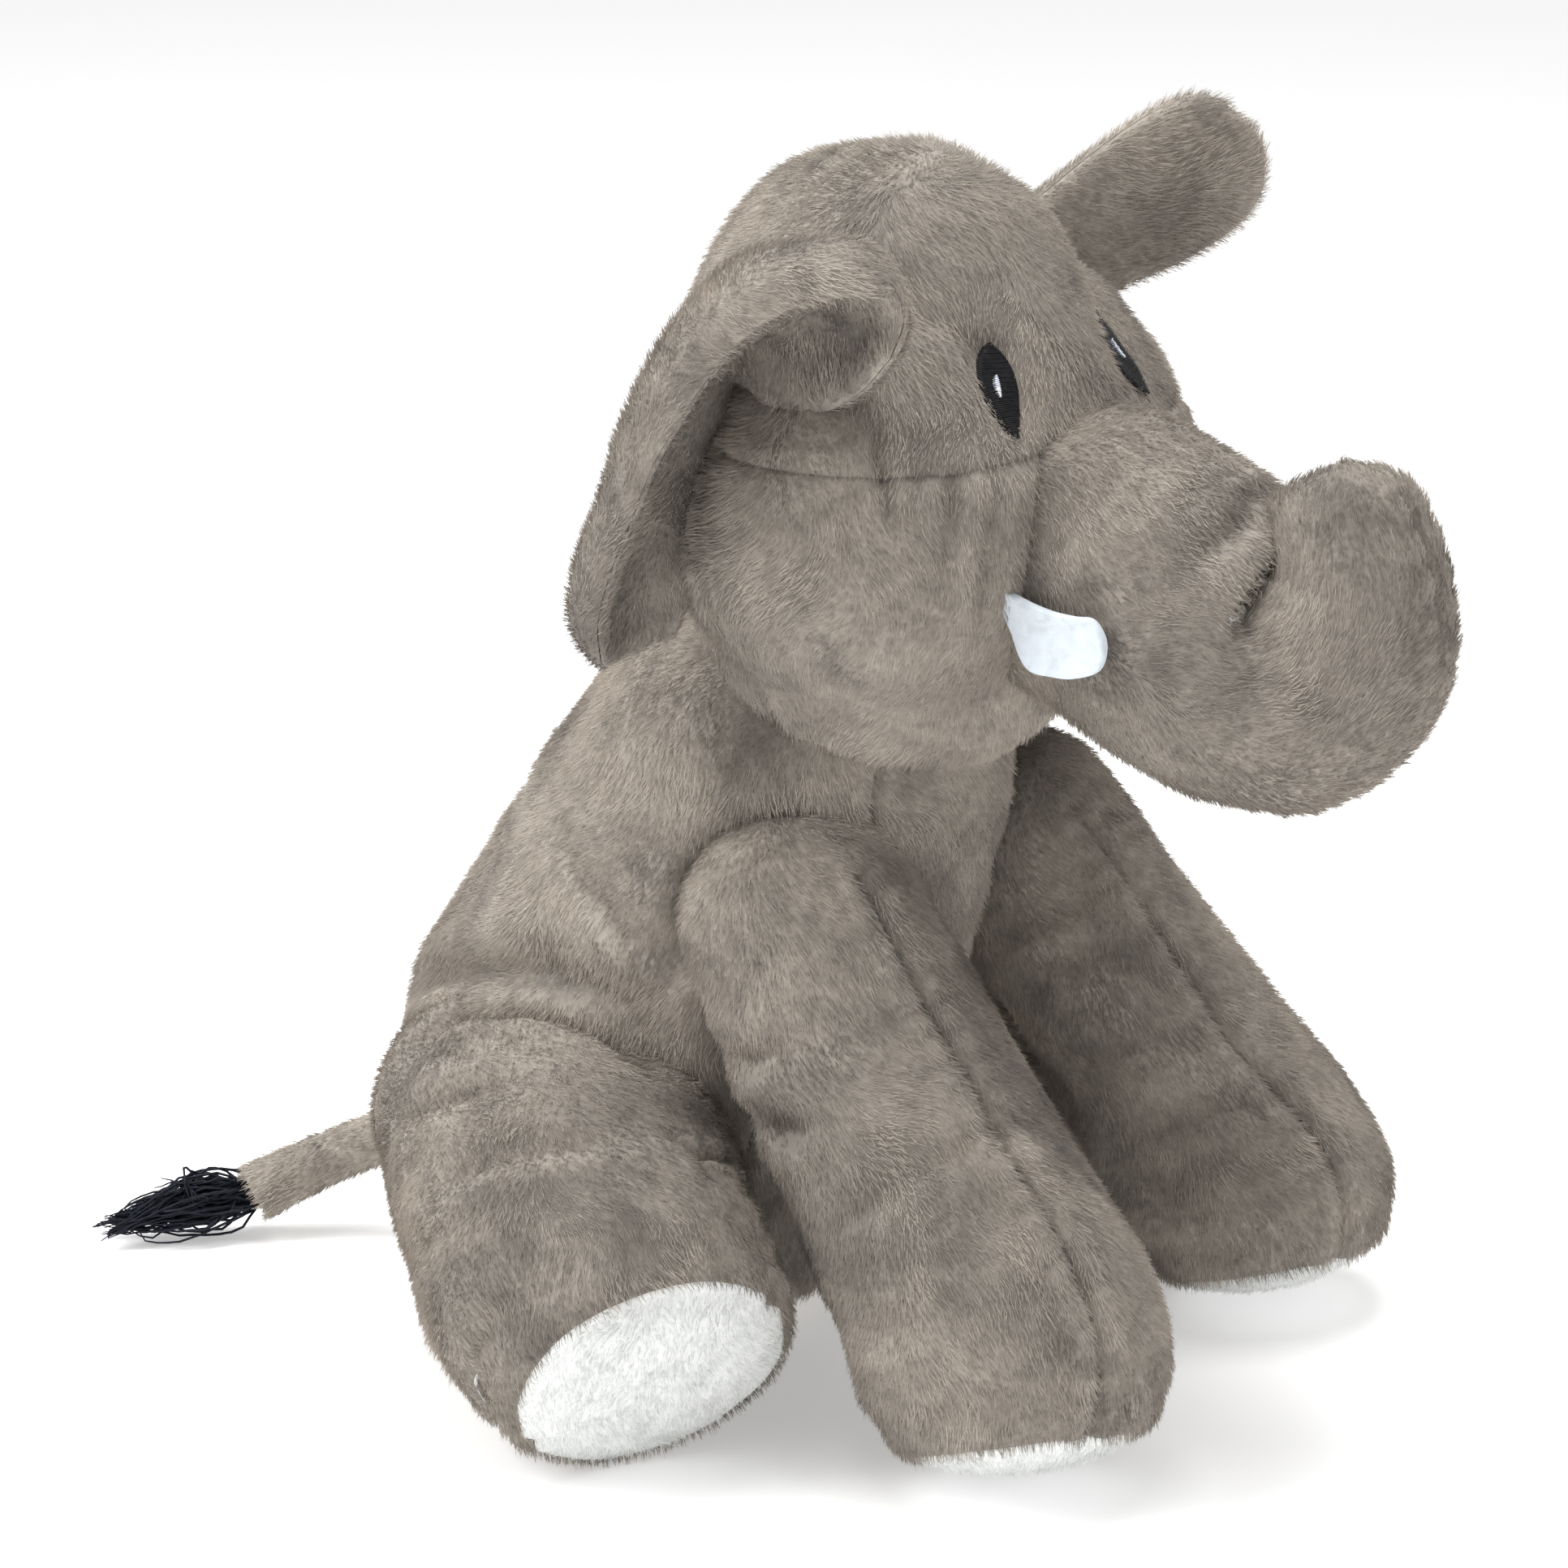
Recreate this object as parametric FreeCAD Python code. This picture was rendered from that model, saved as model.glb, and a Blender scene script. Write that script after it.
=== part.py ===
"""A sitting stuffed elephant: plush panels over stuffing, with felt tusks, embroidered eyes and a yarn tassel.

Millimetres. +Z is up and the elephant looks along -Y, so its right side is at -X. The origin is on the
floor, under the middle of the seat. Each sewn limb ends inside the toy in a ball of stuffing at its seam,
and the piece that it is sewn to has a socket round that ball, so that the limb can flex there.
"""
import FreeCAD
import Part

import math
import os

Vec = FreeCAD.Vector

# ---- Driving dimensions ----
skin = 1.6              # plush fabric with its pile lying flat
fill_gap = 1.0          # between a skin and the stuffing inside it
torso_fill_gap = 2.5    # the same in the torso, which is packed more loosely
seam_gap = 1.0          # degrees that a panel stops short of its seam line
seat_gap = 0.8          # between a ball end and its socket
sole_bulge = 6.0        # how far a sole swells out past its seam
felt = 1.5              # one layer of tusk felt
thread = 0.9            # height of satin stitching
glint_thread = 0.5      # height of the white stitches on top of it

torso_width = 134.0     # at the widest, side to side
torso_lean = 44.0       # how far the neck is in front of the seat
neck_height = 147.0     # height of the neck's middle
neck_ball = 42.0        # radius of the firm wad of stuffing in the neck
belly_panel_angle = 35.0    # degrees each side of the middle
seat_panel_height = 9.0

head_height = 147.0     # chin to crown
head_width = 132.0      # over the cheeks
head_depth = 104.0      # brow to the back of the head
chin_height = 152.0     # chin above the floor

trunk_root = 33.0       # radius where the trunk is sewn on
trunk_bend = 34.0       # radius at the lowest part of its curve
trunk_tip = 14.0        # radius at the tip

front_leg_root = 29.0   # radius at the shoulder
front_foot = 35.0       # radius of the widest part of the foot
front_sole = 30.0       # radius of the sole's seam
hind_leg_root = 38.0    # radius at the hip
hind_thigh = 40.5       # radius of the widest part of the leg
hind_sole = 33.5        # radius of the sole's seam

ear_thickness = 10.0    # both layers with their pile
layer_gap = 0.4         # between them
ear_width = 42.0        # across a lobe
tail_radius = 7.0
tassel_radius = 9.0
eye_height = 21.0
eye_width = 11.5
glint_height = 4.6
glint_width = 2.8
tusk_length = 30.0
tusk_width = 19.0

swing = 15.0            # degrees that each leg flexes at its seam
nod = 10.0              # degrees that the head nods and the trunk lifts
FAR = 400.0


# ---- Paths and sections that several pieces share ----
def unit(v):
    return Vec(v).normalize()


def smooth(rows, steps):
    """Rows of numbers with evenly placed rows between them, on a curve through the given ones."""
    made = []
    for i in range(len(rows) - 1):
        a, b = rows[max(i - 1, 0)], rows[i]
        c, d = rows[i + 1], rows[min(i + 2, len(rows) - 1)]
        for k in range(steps):
            t = k / steps
            made.append([0.5 * (2 * q + (r - p) * t + (2 * p - 5 * q + 4 * r - s) * t * t
                                + (3 * q - p - 3 * r + s) * t ** 3) for p, q, r, s in zip(a, b, c, d)])
    return made + [list(rows[-1])]


def limb_path(centres, radii, steps, last=None):
    """Stations (centre, normal, half-width, half-depth) along a round limb."""
    rows = smooth([[c.x, c.y, c.z, r] for c, r in zip(centres, radii)], steps)
    places = [Vec(*row[:3]) for row in rows]
    made = []
    for i, row in enumerate(rows):
        way = unit(places[min(i + 1, len(rows) - 1)] - places[max(i - 1, 0)])
        if last is not None:
            share = max(0.0, (i - len(rows) + 1 + 2 * steps) / (2.0 * steps))
            way = unit(way * (1 - share) + unit(last) * share)
        made.append((places[i], way, row[3], row[3]))
    return made


def rounded(stations, height, turns=(40, 65, 82)):
    """More stations past the last one that round the end off."""
    centre, way, wide, deep = stations[-1]
    made = []
    for degrees in turns:
        turn = math.radians(degrees)
        made.append((centre + way * (height * math.sin(turn)), way, wide * math.cos(turn), deep * math.cos(turn)))
    return stations + made


def turned(stations):
    """The same stations from the other end."""
    return [(c, w * -1, a, b) for c, w, a, b in reversed(stations)]


def ball_start(stations):
    """A ball end before the first station."""
    back = turned(stations)
    return turned(rounded(back, stations[0][2]))


def thinned(stations, by):
    return [(c, w, max(a - by, 0.3), max(b - by, 0.3)) for c, w, a, b in stations]


def arc_points(station, side, start, end, count):
    centre, normal, wide, deep = station
    across = unit(side - normal * side.dot(normal))
    up = normal.cross(across)
    made = []
    for i in range(count + 1):
        turn = math.radians(start + (end - start) * i / count)
        made.append(centre + across * (wide * math.cos(turn)) + up * (deep * math.sin(turn)))
    return made


def curve_through(points, closed=False):
    curve = Part.BSplineCurve()
    if closed:
        curve.interpolate(points[:-1], PeriodicFlag=True)
    else:
        curve.interpolate(points)
    return curve.toShape()


def filled(stations, side):
    """A solid with an oval section at each station."""
    wires = [Part.Wire(curve_through(arc_points(s, side, 0, 360, 16), True)) for s in stations]
    return Part.makeLoft(wires, True, False)


def panel(stations, side, start, end, thick=skin):
    """A curved panel of fabric that covers the oval stations from one angle round to another."""
    start, end = start + seam_gap, end - seam_gap
    count = max(4, int(abs(end - start) / 18))
    inner_stations = thinned(stations, thick)
    wires = []
    for outer, inner in zip(stations, inner_stations):
        high = arc_points(outer, side, start, end, count)
        low = arc_points(inner, side, start, end, count)
        wires.append(Part.Wire([
            curve_through(high), Part.makeLine(high[-1], low[-1]),
            curve_through(low[::-1]), Part.makeLine(low[0], high[0])]))
    return Part.makeLoft(wires, True, False)


def cap(centre, normal, rim, bulge, thick=skin):
    """A bulging round panel whose seam is a circle of radius rim."""
    ball = (rim * rim + bulge * bulge) / (2 * bulge)
    middle = centre + normal * (bulge - ball)
    shell = Part.makeSphere(ball, middle).cut(Part.makeSphere(ball - thick, middle))
    return shell.common(Part.makeCylinder(2 * rim, 2 * bulge, centre, normal))


def slab(low, high):
    return Part.makeBox(high.x - low.x, high.y - low.y, high.z - low.z, low)


above_floor = slab(Vec(-FAR, -FAR, 0), Vec(FAR, FAR, FAR))


def socket(station, spread):
    """The room that a ball end needs, and the cone that the limb sweeps in front of it."""
    centre, way, radius, _ = station
    turn = math.radians(spread)
    room = radius / math.cos(turn) + seat_gap
    length = 2.0 * radius
    sweep = Part.makeCone(room, room + length * math.tan(turn), length, centre, way)
    return Part.makeSphere(room, centre).fuse(sweep)


def save(shape, name):
    """Writes one node."""
    solids = [s for s in shape.Solids if s.Volume > 0.5]
    whole = solids[0] if len(solids) == 1 else Part.makeCompound(solids)
    whole.exportStep(os.path.join("parts", name + ".step"))
    print(f"{name:28s} {len(solids)} solid(s) {sum(s.Volume for s in solids) / 1000:8.2f} cm3")


# ---- Legs ----
def leg(name, centres, radii, sole_normal, rib):
    """Two side panels with a seam down the front and back, a sole and the stuffing.

    rib is the direction from the inner panel to the outer one.
    """
    stations = limb_path(centres, radii, 2, last=sole_normal)
    end, normal, rim, _ = stations[-1]
    tube = turned(rounded(turned(stations), radii[0], turns=(30, 50)))
    save(panel(tube, rib, -90, 90).common(above_floor), name + "_outer_panel")
    save(panel(tube, rib, 90, 270).common(above_floor), name + "_inner_panel")
    save(cap(end, normal, rim, sole_bulge).common(above_floor), name + "_sole")
    core = thinned(stations, skin + fill_gap)
    save(filled(ball_start(core), rib).common(above_floor), name + "_stuffing")
    return socket(stations[0], swing + 3)


def front_leg(name, side, shoulder, knee, ankle, foot, sole_normal):
    normal = unit(sole_normal)
    radii = [front_leg_root, front_leg_root + 1.5, front_foot - 2, front_foot, front_sole]
    centres = [shoulder, knee, ankle, foot, foot + normal * (0.46 * front_foot)]
    return leg(name, centres, radii, normal, Vec(side, 0, 0))


def hind_leg(name, side, hip, knee, ankle, foot):
    normal = unit(Vec(side * 0.44, -0.72, -0.53))
    radii = [hind_leg_root, hind_thigh, hind_thigh - 0.5, hind_thigh - 3.5, hind_sole]
    centres = [hip, knee, ankle, foot, foot + normal * (0.40 * hind_thigh)]
    return leg(name, centres, radii, normal, Vec(side * 0.81, -0.58, 0))


# ---- Torso and neck ----
neck = Vec(0, -torso_lean - 5, neck_height + 9)
half_torso = torso_width / 2
torso_rows = [(0.061, 0.00, 0.72), (0.20, 0.03, 0.86), (0.34, 0.10, 0.93), (0.53, 0.27, 1.00),
              (0.74, 0.61, 0.95), (0.90, 0.90, 0.87), (1.02, 1.03, 0.79)]


def torso_stations():
    """The pear-shaped trunk of the body, leaning forward, as round stations up its axis."""
    return [(Vec(0, -torso_lean * forward, neck_height * height), Vec(0, 0, 1), half_torso * w, half_torso * w)
            for height, forward, w in torso_rows]


def seat_dish(radius, height, thick):
    """The seat panel: flat on the floor, with a rim that turns up to the side panels."""
    flat = 0.74 * radius
    bend = [Vec(radius - (radius - flat) * (1 - math.sin(t)), 0, height * (1 - math.cos(t)))
            for t in [math.pi / 2 * i / 6 for i in range(7)]]
    rim = curve_through(bend)
    edges = [Part.makeLine(Vec(0, 0, 0), bend[0]), rim, Part.makeLine(bend[-1], bend[-1] - Vec(thick, 0, 0))]
    low = [p + Vec(-thick * math.sin(t), 0, thick * math.cos(t))
           for p, t in zip(bend, [math.pi / 2 * i / 6 for i in range(7)])][::-1]
    edges += [curve_through(low), Part.makeLine(low[-1], Vec(0, 0, thick)),
              Part.makeLine(Vec(0, 0, thick), Vec(0, 0, 0))]
    return Part.Face(Part.Wire(edges)).revolve(Vec(0, 0, 0), Vec(0, 0, 1), 360)


def make_torso(sockets):
    """Side panels, belly panel, seat panel and stuffing, cut clear of the limbs' ball ends."""
    side = Vec(1, 0, 0)
    stations = torso_stations()
    front = 270
    pieces = {
        "torso_right_panel": panel(stations, side, 90, front - belly_panel_angle),
        "torso_left_panel": panel(stations, side, front + belly_panel_angle - 360, 90),
        "belly_panel": panel(stations, side, front - belly_panel_angle, front + belly_panel_angle),
        "seat_panel": seat_dish(stations[0][2], seat_panel_height, skin),
    }
    core = thinned(stations, skin + torso_fill_gap)
    low = core[0]
    base = (Vec(0, 0, skin + fill_gap), low[1], 0.80 * low[2], 0.80 * low[3])
    pieces["torso_stuffing"] = filled([base] + core, side)
    for name, shape in pieces.items():
        for hollow in sockets:
            if shape.BoundBox.intersect(hollow.BoundBox):
                shape = shape.cut(hollow)
        save(shape, name)


# ---- Head ----
head_back = -74.0
head_rows = [(0.00, 0.04, 0.22, 0.22), (0.04, 0.04, 0.44, 0.44), (0.12, 0.05, 0.68, 0.70), (0.24, 0.07, 0.89, 0.88),
             (0.40, 0.08, 1.00, 1.00), (0.54, 0.06, 0.95, 1.00), (0.68, 0.02, 0.79, 0.94),
             (0.82, 0.00, 0.64, 0.79), (0.93, 0.00, 0.43, 0.54), (0.98, 0.00, 0.24, 0.30), (1.00, 0.00, 0.06, 0.07)]
brow_row = 4


def head_stations(thinner=0.0):
    """An upright egg with full cheeks, as oval stations from chin to crown."""
    middle = chin_height + head_height / 2
    made = []
    for height, forward, width, depth in head_rows:
        centre = Vec(0, head_back - head_depth * forward, middle + (head_height - 2 * thinner) * (height - 0.5))
        wide, deep = head_width / 2 * width - thinner, head_depth / 2 * depth - thinner
        made.append((centre, Vec(0, 0, 1), max(wide, 0.5), max(deep, 0.5)))
    return made


eye_middle = Vec(25, -116, 248)


def eye_patch(side, tall, wide, low, high, shift):
    """A satin-stitched oval that follows the face, between two heights above the fabric."""
    place = Vec(side * (eye_middle.x + shift), eye_middle.y, eye_middle.z)
    look = unit(Vec(side * 0.42, -1, 0.15))
    oval = arc_points((place - look * 25, look, wide / 2, tall / 2), Vec(1, 0, 0), 0, 360, 16)
    prism = Part.Face(Part.Wire(curve_through(oval, True))).extrude(look * 50)
    side_x = Vec(1, 0, 0)
    layer = filled(head_stations(-high), side_x).cut(filled(head_stations(-low), side_x))
    return layer.common(prism)


def make_head(sockets):
    """Back, forehead and two cheek panels, the stuffing and the embroidered eyes."""
    side = Vec(1, 0, 0)
    stations = head_stations()
    face, top = stations[:brow_row + 1], stations[brow_row:]
    ear_line = 12
    pieces = {
        "head_back_panel": panel(stations, side, ear_line, 180 - ear_line),
        "forehead_panel": panel(top, side, 180 - ear_line, 360 + ear_line),
        "right_cheek_panel": panel(face, side, 180 - ear_line, 270),
        "left_cheek_panel": panel(face, side, 270, 360 + ear_line),
        "head_stuffing": filled(head_stations(skin + fill_gap), side),
    }
    for name, shape in pieces.items():
        for hollow in sockets:
            shape = shape.cut(hollow)
        save(shape, name)
    for sign, name in ((-1, "right"), (1, "left")):
        save(eye_patch(sign, eye_height, eye_width, 0.05, thread, 0.0), name + "_eye_embroidery")
        glint = eye_patch(sign, glint_height, glint_width, thread + 0.05, thread + glint_thread, -1.0)
        save(glint, name + "_eye_glint")


# ---- Trunk and tusks ----
trunk_path = [Vec(0, -116, 211), Vec(0, -139, 206), Vec(0, -161, 195), Vec(0, -179, 188),
              Vec(0, -193, 195), Vec(0, -198, 211), Vec(0, -196, 226)]


def make_trunk():
    """Two side panels with a seam over the top and under the curve, and the stuffing."""
    radii = [trunk_root, trunk_root, trunk_bend, trunk_bend - 2, trunk_bend - 7, trunk_tip + 7, trunk_tip]
    side = Vec(1, 0, 0)
    stations = rounded(limb_path(trunk_path, radii, 1), 0.8 * trunk_tip, turns=(40, 70))
    tube = turned(rounded(turned(stations), trunk_root, turns=(30, 50)))
    save(panel(tube, side, -90, 90), "trunk_left_panel")
    save(panel(tube, side, 90, 270), "trunk_right_panel")
    core = thinned(limb_path(trunk_path, radii, 1), skin + fill_gap)
    core = rounded(core, 0.8 * trunk_tip - skin - fill_gap, turns=(40, 70))
    save(filled(ball_start(core), side), "trunk_stuffing")
    return socket(stations[0], nod + 2)


tusk_root = Vec(0, -127, 199)


def make_tusk(side, name):
    """Two layers of white felt cut as a short blunt tusk that stands off the side of the trunk."""
    along, down = Vec(0, -0.99, -0.12), Vec(0, 0.12, -0.99)
    start = Vec(side * (trunk_root + 3.5), tusk_root.y, tusk_root.z)
    outline = [(0.0, -0.42), (0.35, -0.30), (0.85, -0.36), (1.0, -0.12), (0.98, 0.32), (0.80, 0.48),
               (0.40, 0.50), (0.12, 0.40), (0.0, -0.42)]
    points = [start + along * (tusk_length * a) + down * (tusk_width * d) for a, d in outline]
    save(Part.Face(Part.Wire(curve_through(points, True))).extrude(Vec(side * 2 * felt, 0, 0)), name)


# ---- Ears ----
def ear_layer(stations, sign):
    """One layer of an ear: half-oval sections, each (centre, way, width, facing)."""
    wires = []
    for centre, way, wide, facing in stations:
        up = unit(facing - way * facing.dot(way))
        across = up.cross(way)
        base = centre + up * (sign * layer_gap / 2)
        depth = ear_thickness / 2
        bulge = [base + across * (wide / 2 * math.cos(t)) + up * (sign * depth * math.sin(t))
                 for t in [math.pi * i / 8 for i in range(9)]]
        wires.append(Part.Wire([curve_through(bulge), Part.makeLine(bulge[-1], bulge[0])]))
    return Part.makeLoft(wires, True, False)


def make_ear(name, centres, widths, facings):
    ways = [unit(centres[min(i + 1, len(centres) - 1)] - centres[max(i - 1, 0)]) for i in range(len(centres))]
    stations = list(zip(centres, ways, widths, facings))
    save(ear_layer(stations, 1), name + "_outer_panel")
    save(ear_layer(stations, -1), name + "_inner_panel")


# ---- Tail ----
tail_path = [Vec(0, 47, 33), Vec(-3, 62, 31), Vec(-10, 80, 25), Vec(-21, 95, 16), Vec(-29, 104, 10.5)]
tassel_path = [Vec(-31, 106.5, 9.5), Vec(-37, 113, 10.5), Vec(-45, 121, 8.5), Vec(-55, 131, 6)]


def make_tail():
    """A slim tube sewn into the back, and a tassel of black yarn tied to its end."""
    side = Vec(1, 0, 0)
    stations = limb_path(tail_path, [tail_radius] * len(tail_path), 2)
    save(filled(stations, side), "tail_tube")
    radii = [tassel_radius * 0.45, tassel_radius, tassel_radius * 0.75, tassel_radius * 0.45]
    save(filled(limb_path(tassel_path, radii, 2), side).common(above_floor), "tail_tassel")
    return socket(stations[0], 2 * swing)


# ---- The whole toy ----
def main():
    os.makedirs("parts", exist_ok=True)
    hollows = [
        front_leg("front_right_leg", -1, Vec(-38, -84, 105), Vec(-41, -101, 78), Vec(-45, -120, 50),
                  Vec(-48, -132, 33), Vec(-0.06, -0.64, -0.77)),
        front_leg("front_left_leg", 1, Vec(52, -88, 112), Vec(62, -106, 82), Vec(74, -121, 54),
                  Vec(83, -132, 34), Vec(0.25, -0.50, -0.83)),
        hind_leg("hind_right_leg", -1, Vec(-46, -4, 60), Vec(-70, -30, 50), Vec(-90, -52, 43),
                 Vec(-97, -66, 38)),
        hind_leg("hind_left_leg", 1, Vec(48, -8, 60), Vec(74, -30, 51), Vec(99, -49, 44),
                 Vec(112, -60, 38)),
        make_tail(),
    ]
    neck_room = Part.makeSphere(neck_ball + seat_gap, neck)
    make_torso(hollows + [neck_room])
    save(Part.makeSphere(neck_ball, neck), "neck_stuffing")
    make_head([neck_room, make_trunk()])
    make_tusk(-1, "right_tusk")
    make_tusk(1, "left_tusk")
    lobe = [ear_width * w for w in (0.55, 0.85, 0.85, 0.80, 0.95, 1.0, 1.0, 0.62)]
    back, over, down = Vec(-0.28, 0.96, 0), Vec(0.1, 0.5, 0.8), Vec(0.55, 0.1, 0.8)
    make_ear("right_ear",
             [Vec(-76, -55, 192), Vec(-77, -57, 204), Vec(-78, -62, 222), Vec(-77, -68, 240),
              Vec(-77, -78, 256), Vec(-78, -93, 266), Vec(-77, -108, 268), Vec(-75, -119, 266)],
             lobe, [back, back, back, back, over, down, down, down])
    back, up = Vec(0.28, 0.96, 0), Vec(0.56, 0.83, 0)
    make_ear("left_ear",
             [Vec(76, -55, 196), Vec(78, -58, 208), Vec(79, -62, 224), Vec(80, -67, 242),
              Vec(86, -74, 260), Vec(97, -82, 271), Vec(110, -91, 279), Vec(121, -98, 284)],
             lobe, [back, back, back, up, up, up, up, up])


main()
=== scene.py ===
import functools
import math

import bmesh
import bpy
import numpy as np
from mathutils.bvhtree import BVHTree
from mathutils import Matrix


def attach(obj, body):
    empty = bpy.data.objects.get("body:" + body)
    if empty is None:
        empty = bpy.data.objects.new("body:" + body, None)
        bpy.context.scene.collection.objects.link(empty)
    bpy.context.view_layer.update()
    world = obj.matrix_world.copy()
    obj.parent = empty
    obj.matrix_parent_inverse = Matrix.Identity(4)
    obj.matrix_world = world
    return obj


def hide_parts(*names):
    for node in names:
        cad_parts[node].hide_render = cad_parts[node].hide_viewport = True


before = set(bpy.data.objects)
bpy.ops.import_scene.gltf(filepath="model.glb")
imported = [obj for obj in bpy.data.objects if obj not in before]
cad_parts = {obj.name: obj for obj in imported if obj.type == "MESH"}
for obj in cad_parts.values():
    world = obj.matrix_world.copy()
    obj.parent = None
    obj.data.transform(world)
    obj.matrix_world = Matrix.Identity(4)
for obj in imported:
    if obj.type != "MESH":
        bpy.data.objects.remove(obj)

bl_info = {
    "name": "Stuffed elephant",
    "version": (1, 0, 0),
    "blender": (4, 5, 0),
    "location": "3D View > Sidebar > Elephant",
    "description": "Sews the plush skins, ears, eyes, tusks, tail and filling of a stuffed elephant onto its frame",
    "category": "Object",
}

MM = 0.001


# ---- Numbers on surfaces; everything here is in millimetres ----
def unit(v):
    v = np.asarray(v, float)
    return v / np.maximum(np.linalg.norm(v, axis=-1, keepdims=True), 1e-9)


def curve(rows, count):
    """count evenly spaced rows of numbers on a smooth curve through the given rows."""
    rows = np.asarray(rows, float)
    ends = np.vstack([rows[:1] * 2 - rows[1:2], rows, rows[-1:] * 2 - rows[-2:-1]])
    t = np.linspace(0, 1, 24, endpoint=False)[:, None]
    made = []
    for a, b, c, d in zip(ends, ends[1:], ends[2:], ends[3:]):
        made.append(0.5 * (2 * b + (c - a) * t + (2 * a - 5 * b + 4 * c - d) * t ** 2 + (3 * b - a - 3 * c + d) * t ** 3))
    fine = np.vstack(made + [rows[-1:]])
    run = np.concatenate([[0], np.cumsum(np.linalg.norm(np.diff(fine, axis=0), axis=1))])
    want = np.linspace(0, run[-1], count)
    return np.stack([np.interp(want, run, fine[:, k]) for k in range(rows.shape[1])], -1)


def wander(p, size, seed):
    """Smooth random values from -1 to 1 that change over about that size."""
    q = p / size + 31.7 * seed
    base = np.floor(q).astype(np.int64)
    f = q - base
    f = f * f * (3 - 2 * f)
    total = 0.0
    for corner in range(8):
        step = np.array([corner & 1, corner >> 1 & 1, corner >> 2 & 1])
        c = base + step
        h = (c[..., 0] * 73856093) ^ (c[..., 1] * 19349663) ^ (c[..., 2] * 83492791) ^ (seed * 1013904223)
        h = ((h ^ (h >> 13)) * 1274126177) & 0x7fffffff
        value = ((h ^ (h >> 15)) & 0xffff) / 32767.5 - 1
        total = total + value * np.prod(np.where(step == 1, f, 1 - f), axis=-1)
    return total


def around(points, closed):
    """Difference between neighbours along the columns."""
    if closed:
        return np.roll(points, -1, 1) - np.roll(points, 1, 1)
    return np.gradient(points, axis=1)


def normals(points, closed=True):
    """Outward normals of a grid whose rows run along a limb and whose columns run round it."""
    n = np.cross(around(points, closed), np.gradient(points, axis=0))
    size = np.linalg.norm(n, axis=-1, keepdims=True)
    bad = size[..., 0].max(1) < 1e-4
    n = unit(n)
    for i in np.where(bad)[0]:
        near = i - 1 if i > 0 else i + 1
        n[i] = unit(n[near].mean(0))
    return n


def nearest(points, line, count=110):
    """Distance from each point to a line once it's laid on the surface, and how far along it the point is, from 0 to 1."""
    flat = points.reshape(-1, 3)
    path = curve(line, count)
    for _ in range(2):
        gap = (flat ** 2).sum(1)[:, None] + (path ** 2).sum(1)[None] - 2 * flat @ path.T
        path = flat[gap.argmin(0)]
        for _ in range(3):
            path[1:-1] = 0.25 * path[:-2] + 0.5 * path[1:-1] + 0.25 * path[2:]
    gap = (flat ** 2).sum(1)[:, None] + (path ** 2).sum(1)[None] - 2 * flat @ path.T
    far = np.sqrt(np.maximum(gap.min(1), 0))
    share = gap.argmin(1) / (count - 1)
    shape = points.shape[:-1]
    return far.reshape(shape), share.reshape(shape), np.linalg.norm(np.diff(path, axis=0), axis=1).sum()


class Skin:
    """A grid of points on a sewn and stuffed surface, and how its pile lies."""

    def __init__(self, points, flow, closed=True):
        self.points = points
        self.closed = closed
        self.normals = normals(points, closed)
        self.height = np.zeros(points.shape[:-1])
        self.pile = np.ones(points.shape[:-1])
        flow = np.broadcast_to(np.asarray(flow, float), points.shape)
        self.flow = unit(flow - self.normals * (flow * self.normals).sum(-1, keepdims=True))

    def lumps(self, seed, high=1.0):
        """Uneven filling under the fabric, and soft wrinkles."""
        p = self.points
        self.height += high * (1.5 * wander(p, 34, seed) + 1.0 * wander(p, 15, seed + 1) + 0.4 * wander(p, 6.5, seed + 2))

    def fold(self, line, deep, wide, lip=0.45):
        """A crease that fades out at both ends, between two soft lips."""
        far, share, _ = nearest(self.points, line)
        fade = np.sin(np.pi * np.clip(share, 0.03, 0.97)) ** 0.6
        self.height += deep * fade * (lip * np.exp(-((far - 2.1 * wide) / (1.1 * wide)) ** 2) - np.exp(-(far / wide) ** 2))

    def seam(self, line, deep=1.7, wide=1.3, lip=0.9, seed=0):
        """A sewn line: a narrow valley with puckers on both sides, where the pile is short."""
        far, share, length = nearest(self.points, line, 220)
        pucker = 0.65 + 0.35 * np.sin(2 * np.pi * share * length / 7.5 + 2 * wander(self.points, 20, seed))
        self.height += lip * pucker * np.exp(-((far - 3.2 * wide) / (1.7 * wide)) ** 2) - deep * np.exp(-(far / wide) ** 2)
        self.pile *= 1 - 0.72 * np.exp(-(far / 0.9) ** 2)

    def finish(self, seed, swirl=40.0):
        """Moves the points, and brushes the pile unevenly."""
        self.points = self.points + self.normals * self.height[..., None]
        self.normals = normals(self.points, self.closed)
        p = self.points
        turn = np.radians(swirl) * (1.2 * wander(p, 26, seed + 5) + 0.7 * wander(p, 11, seed + 6))[..., None]
        across = np.cross(self.normals, self.flow)
        lie = 1.9 + 0.7 * wander(p, 19, seed + 7)[..., None]
        self.comb = (self.flow * np.cos(turn) + across * np.sin(turn)) * lie
        return self

    def cut(self, rows, cols):
        """The part between two rows and two columns, with both seam lines."""
        part = Skin.__new__(Skin)
        r = np.arange(rows[0], rows[1] + 1)
        c = np.arange(cols[0], cols[1] + 1) % self.points.shape[1]
        for name in ("points", "normals", "pile", "comb"):
            setattr(part, name, getattr(self, name)[np.ix_(r, c)])
        return part


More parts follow.
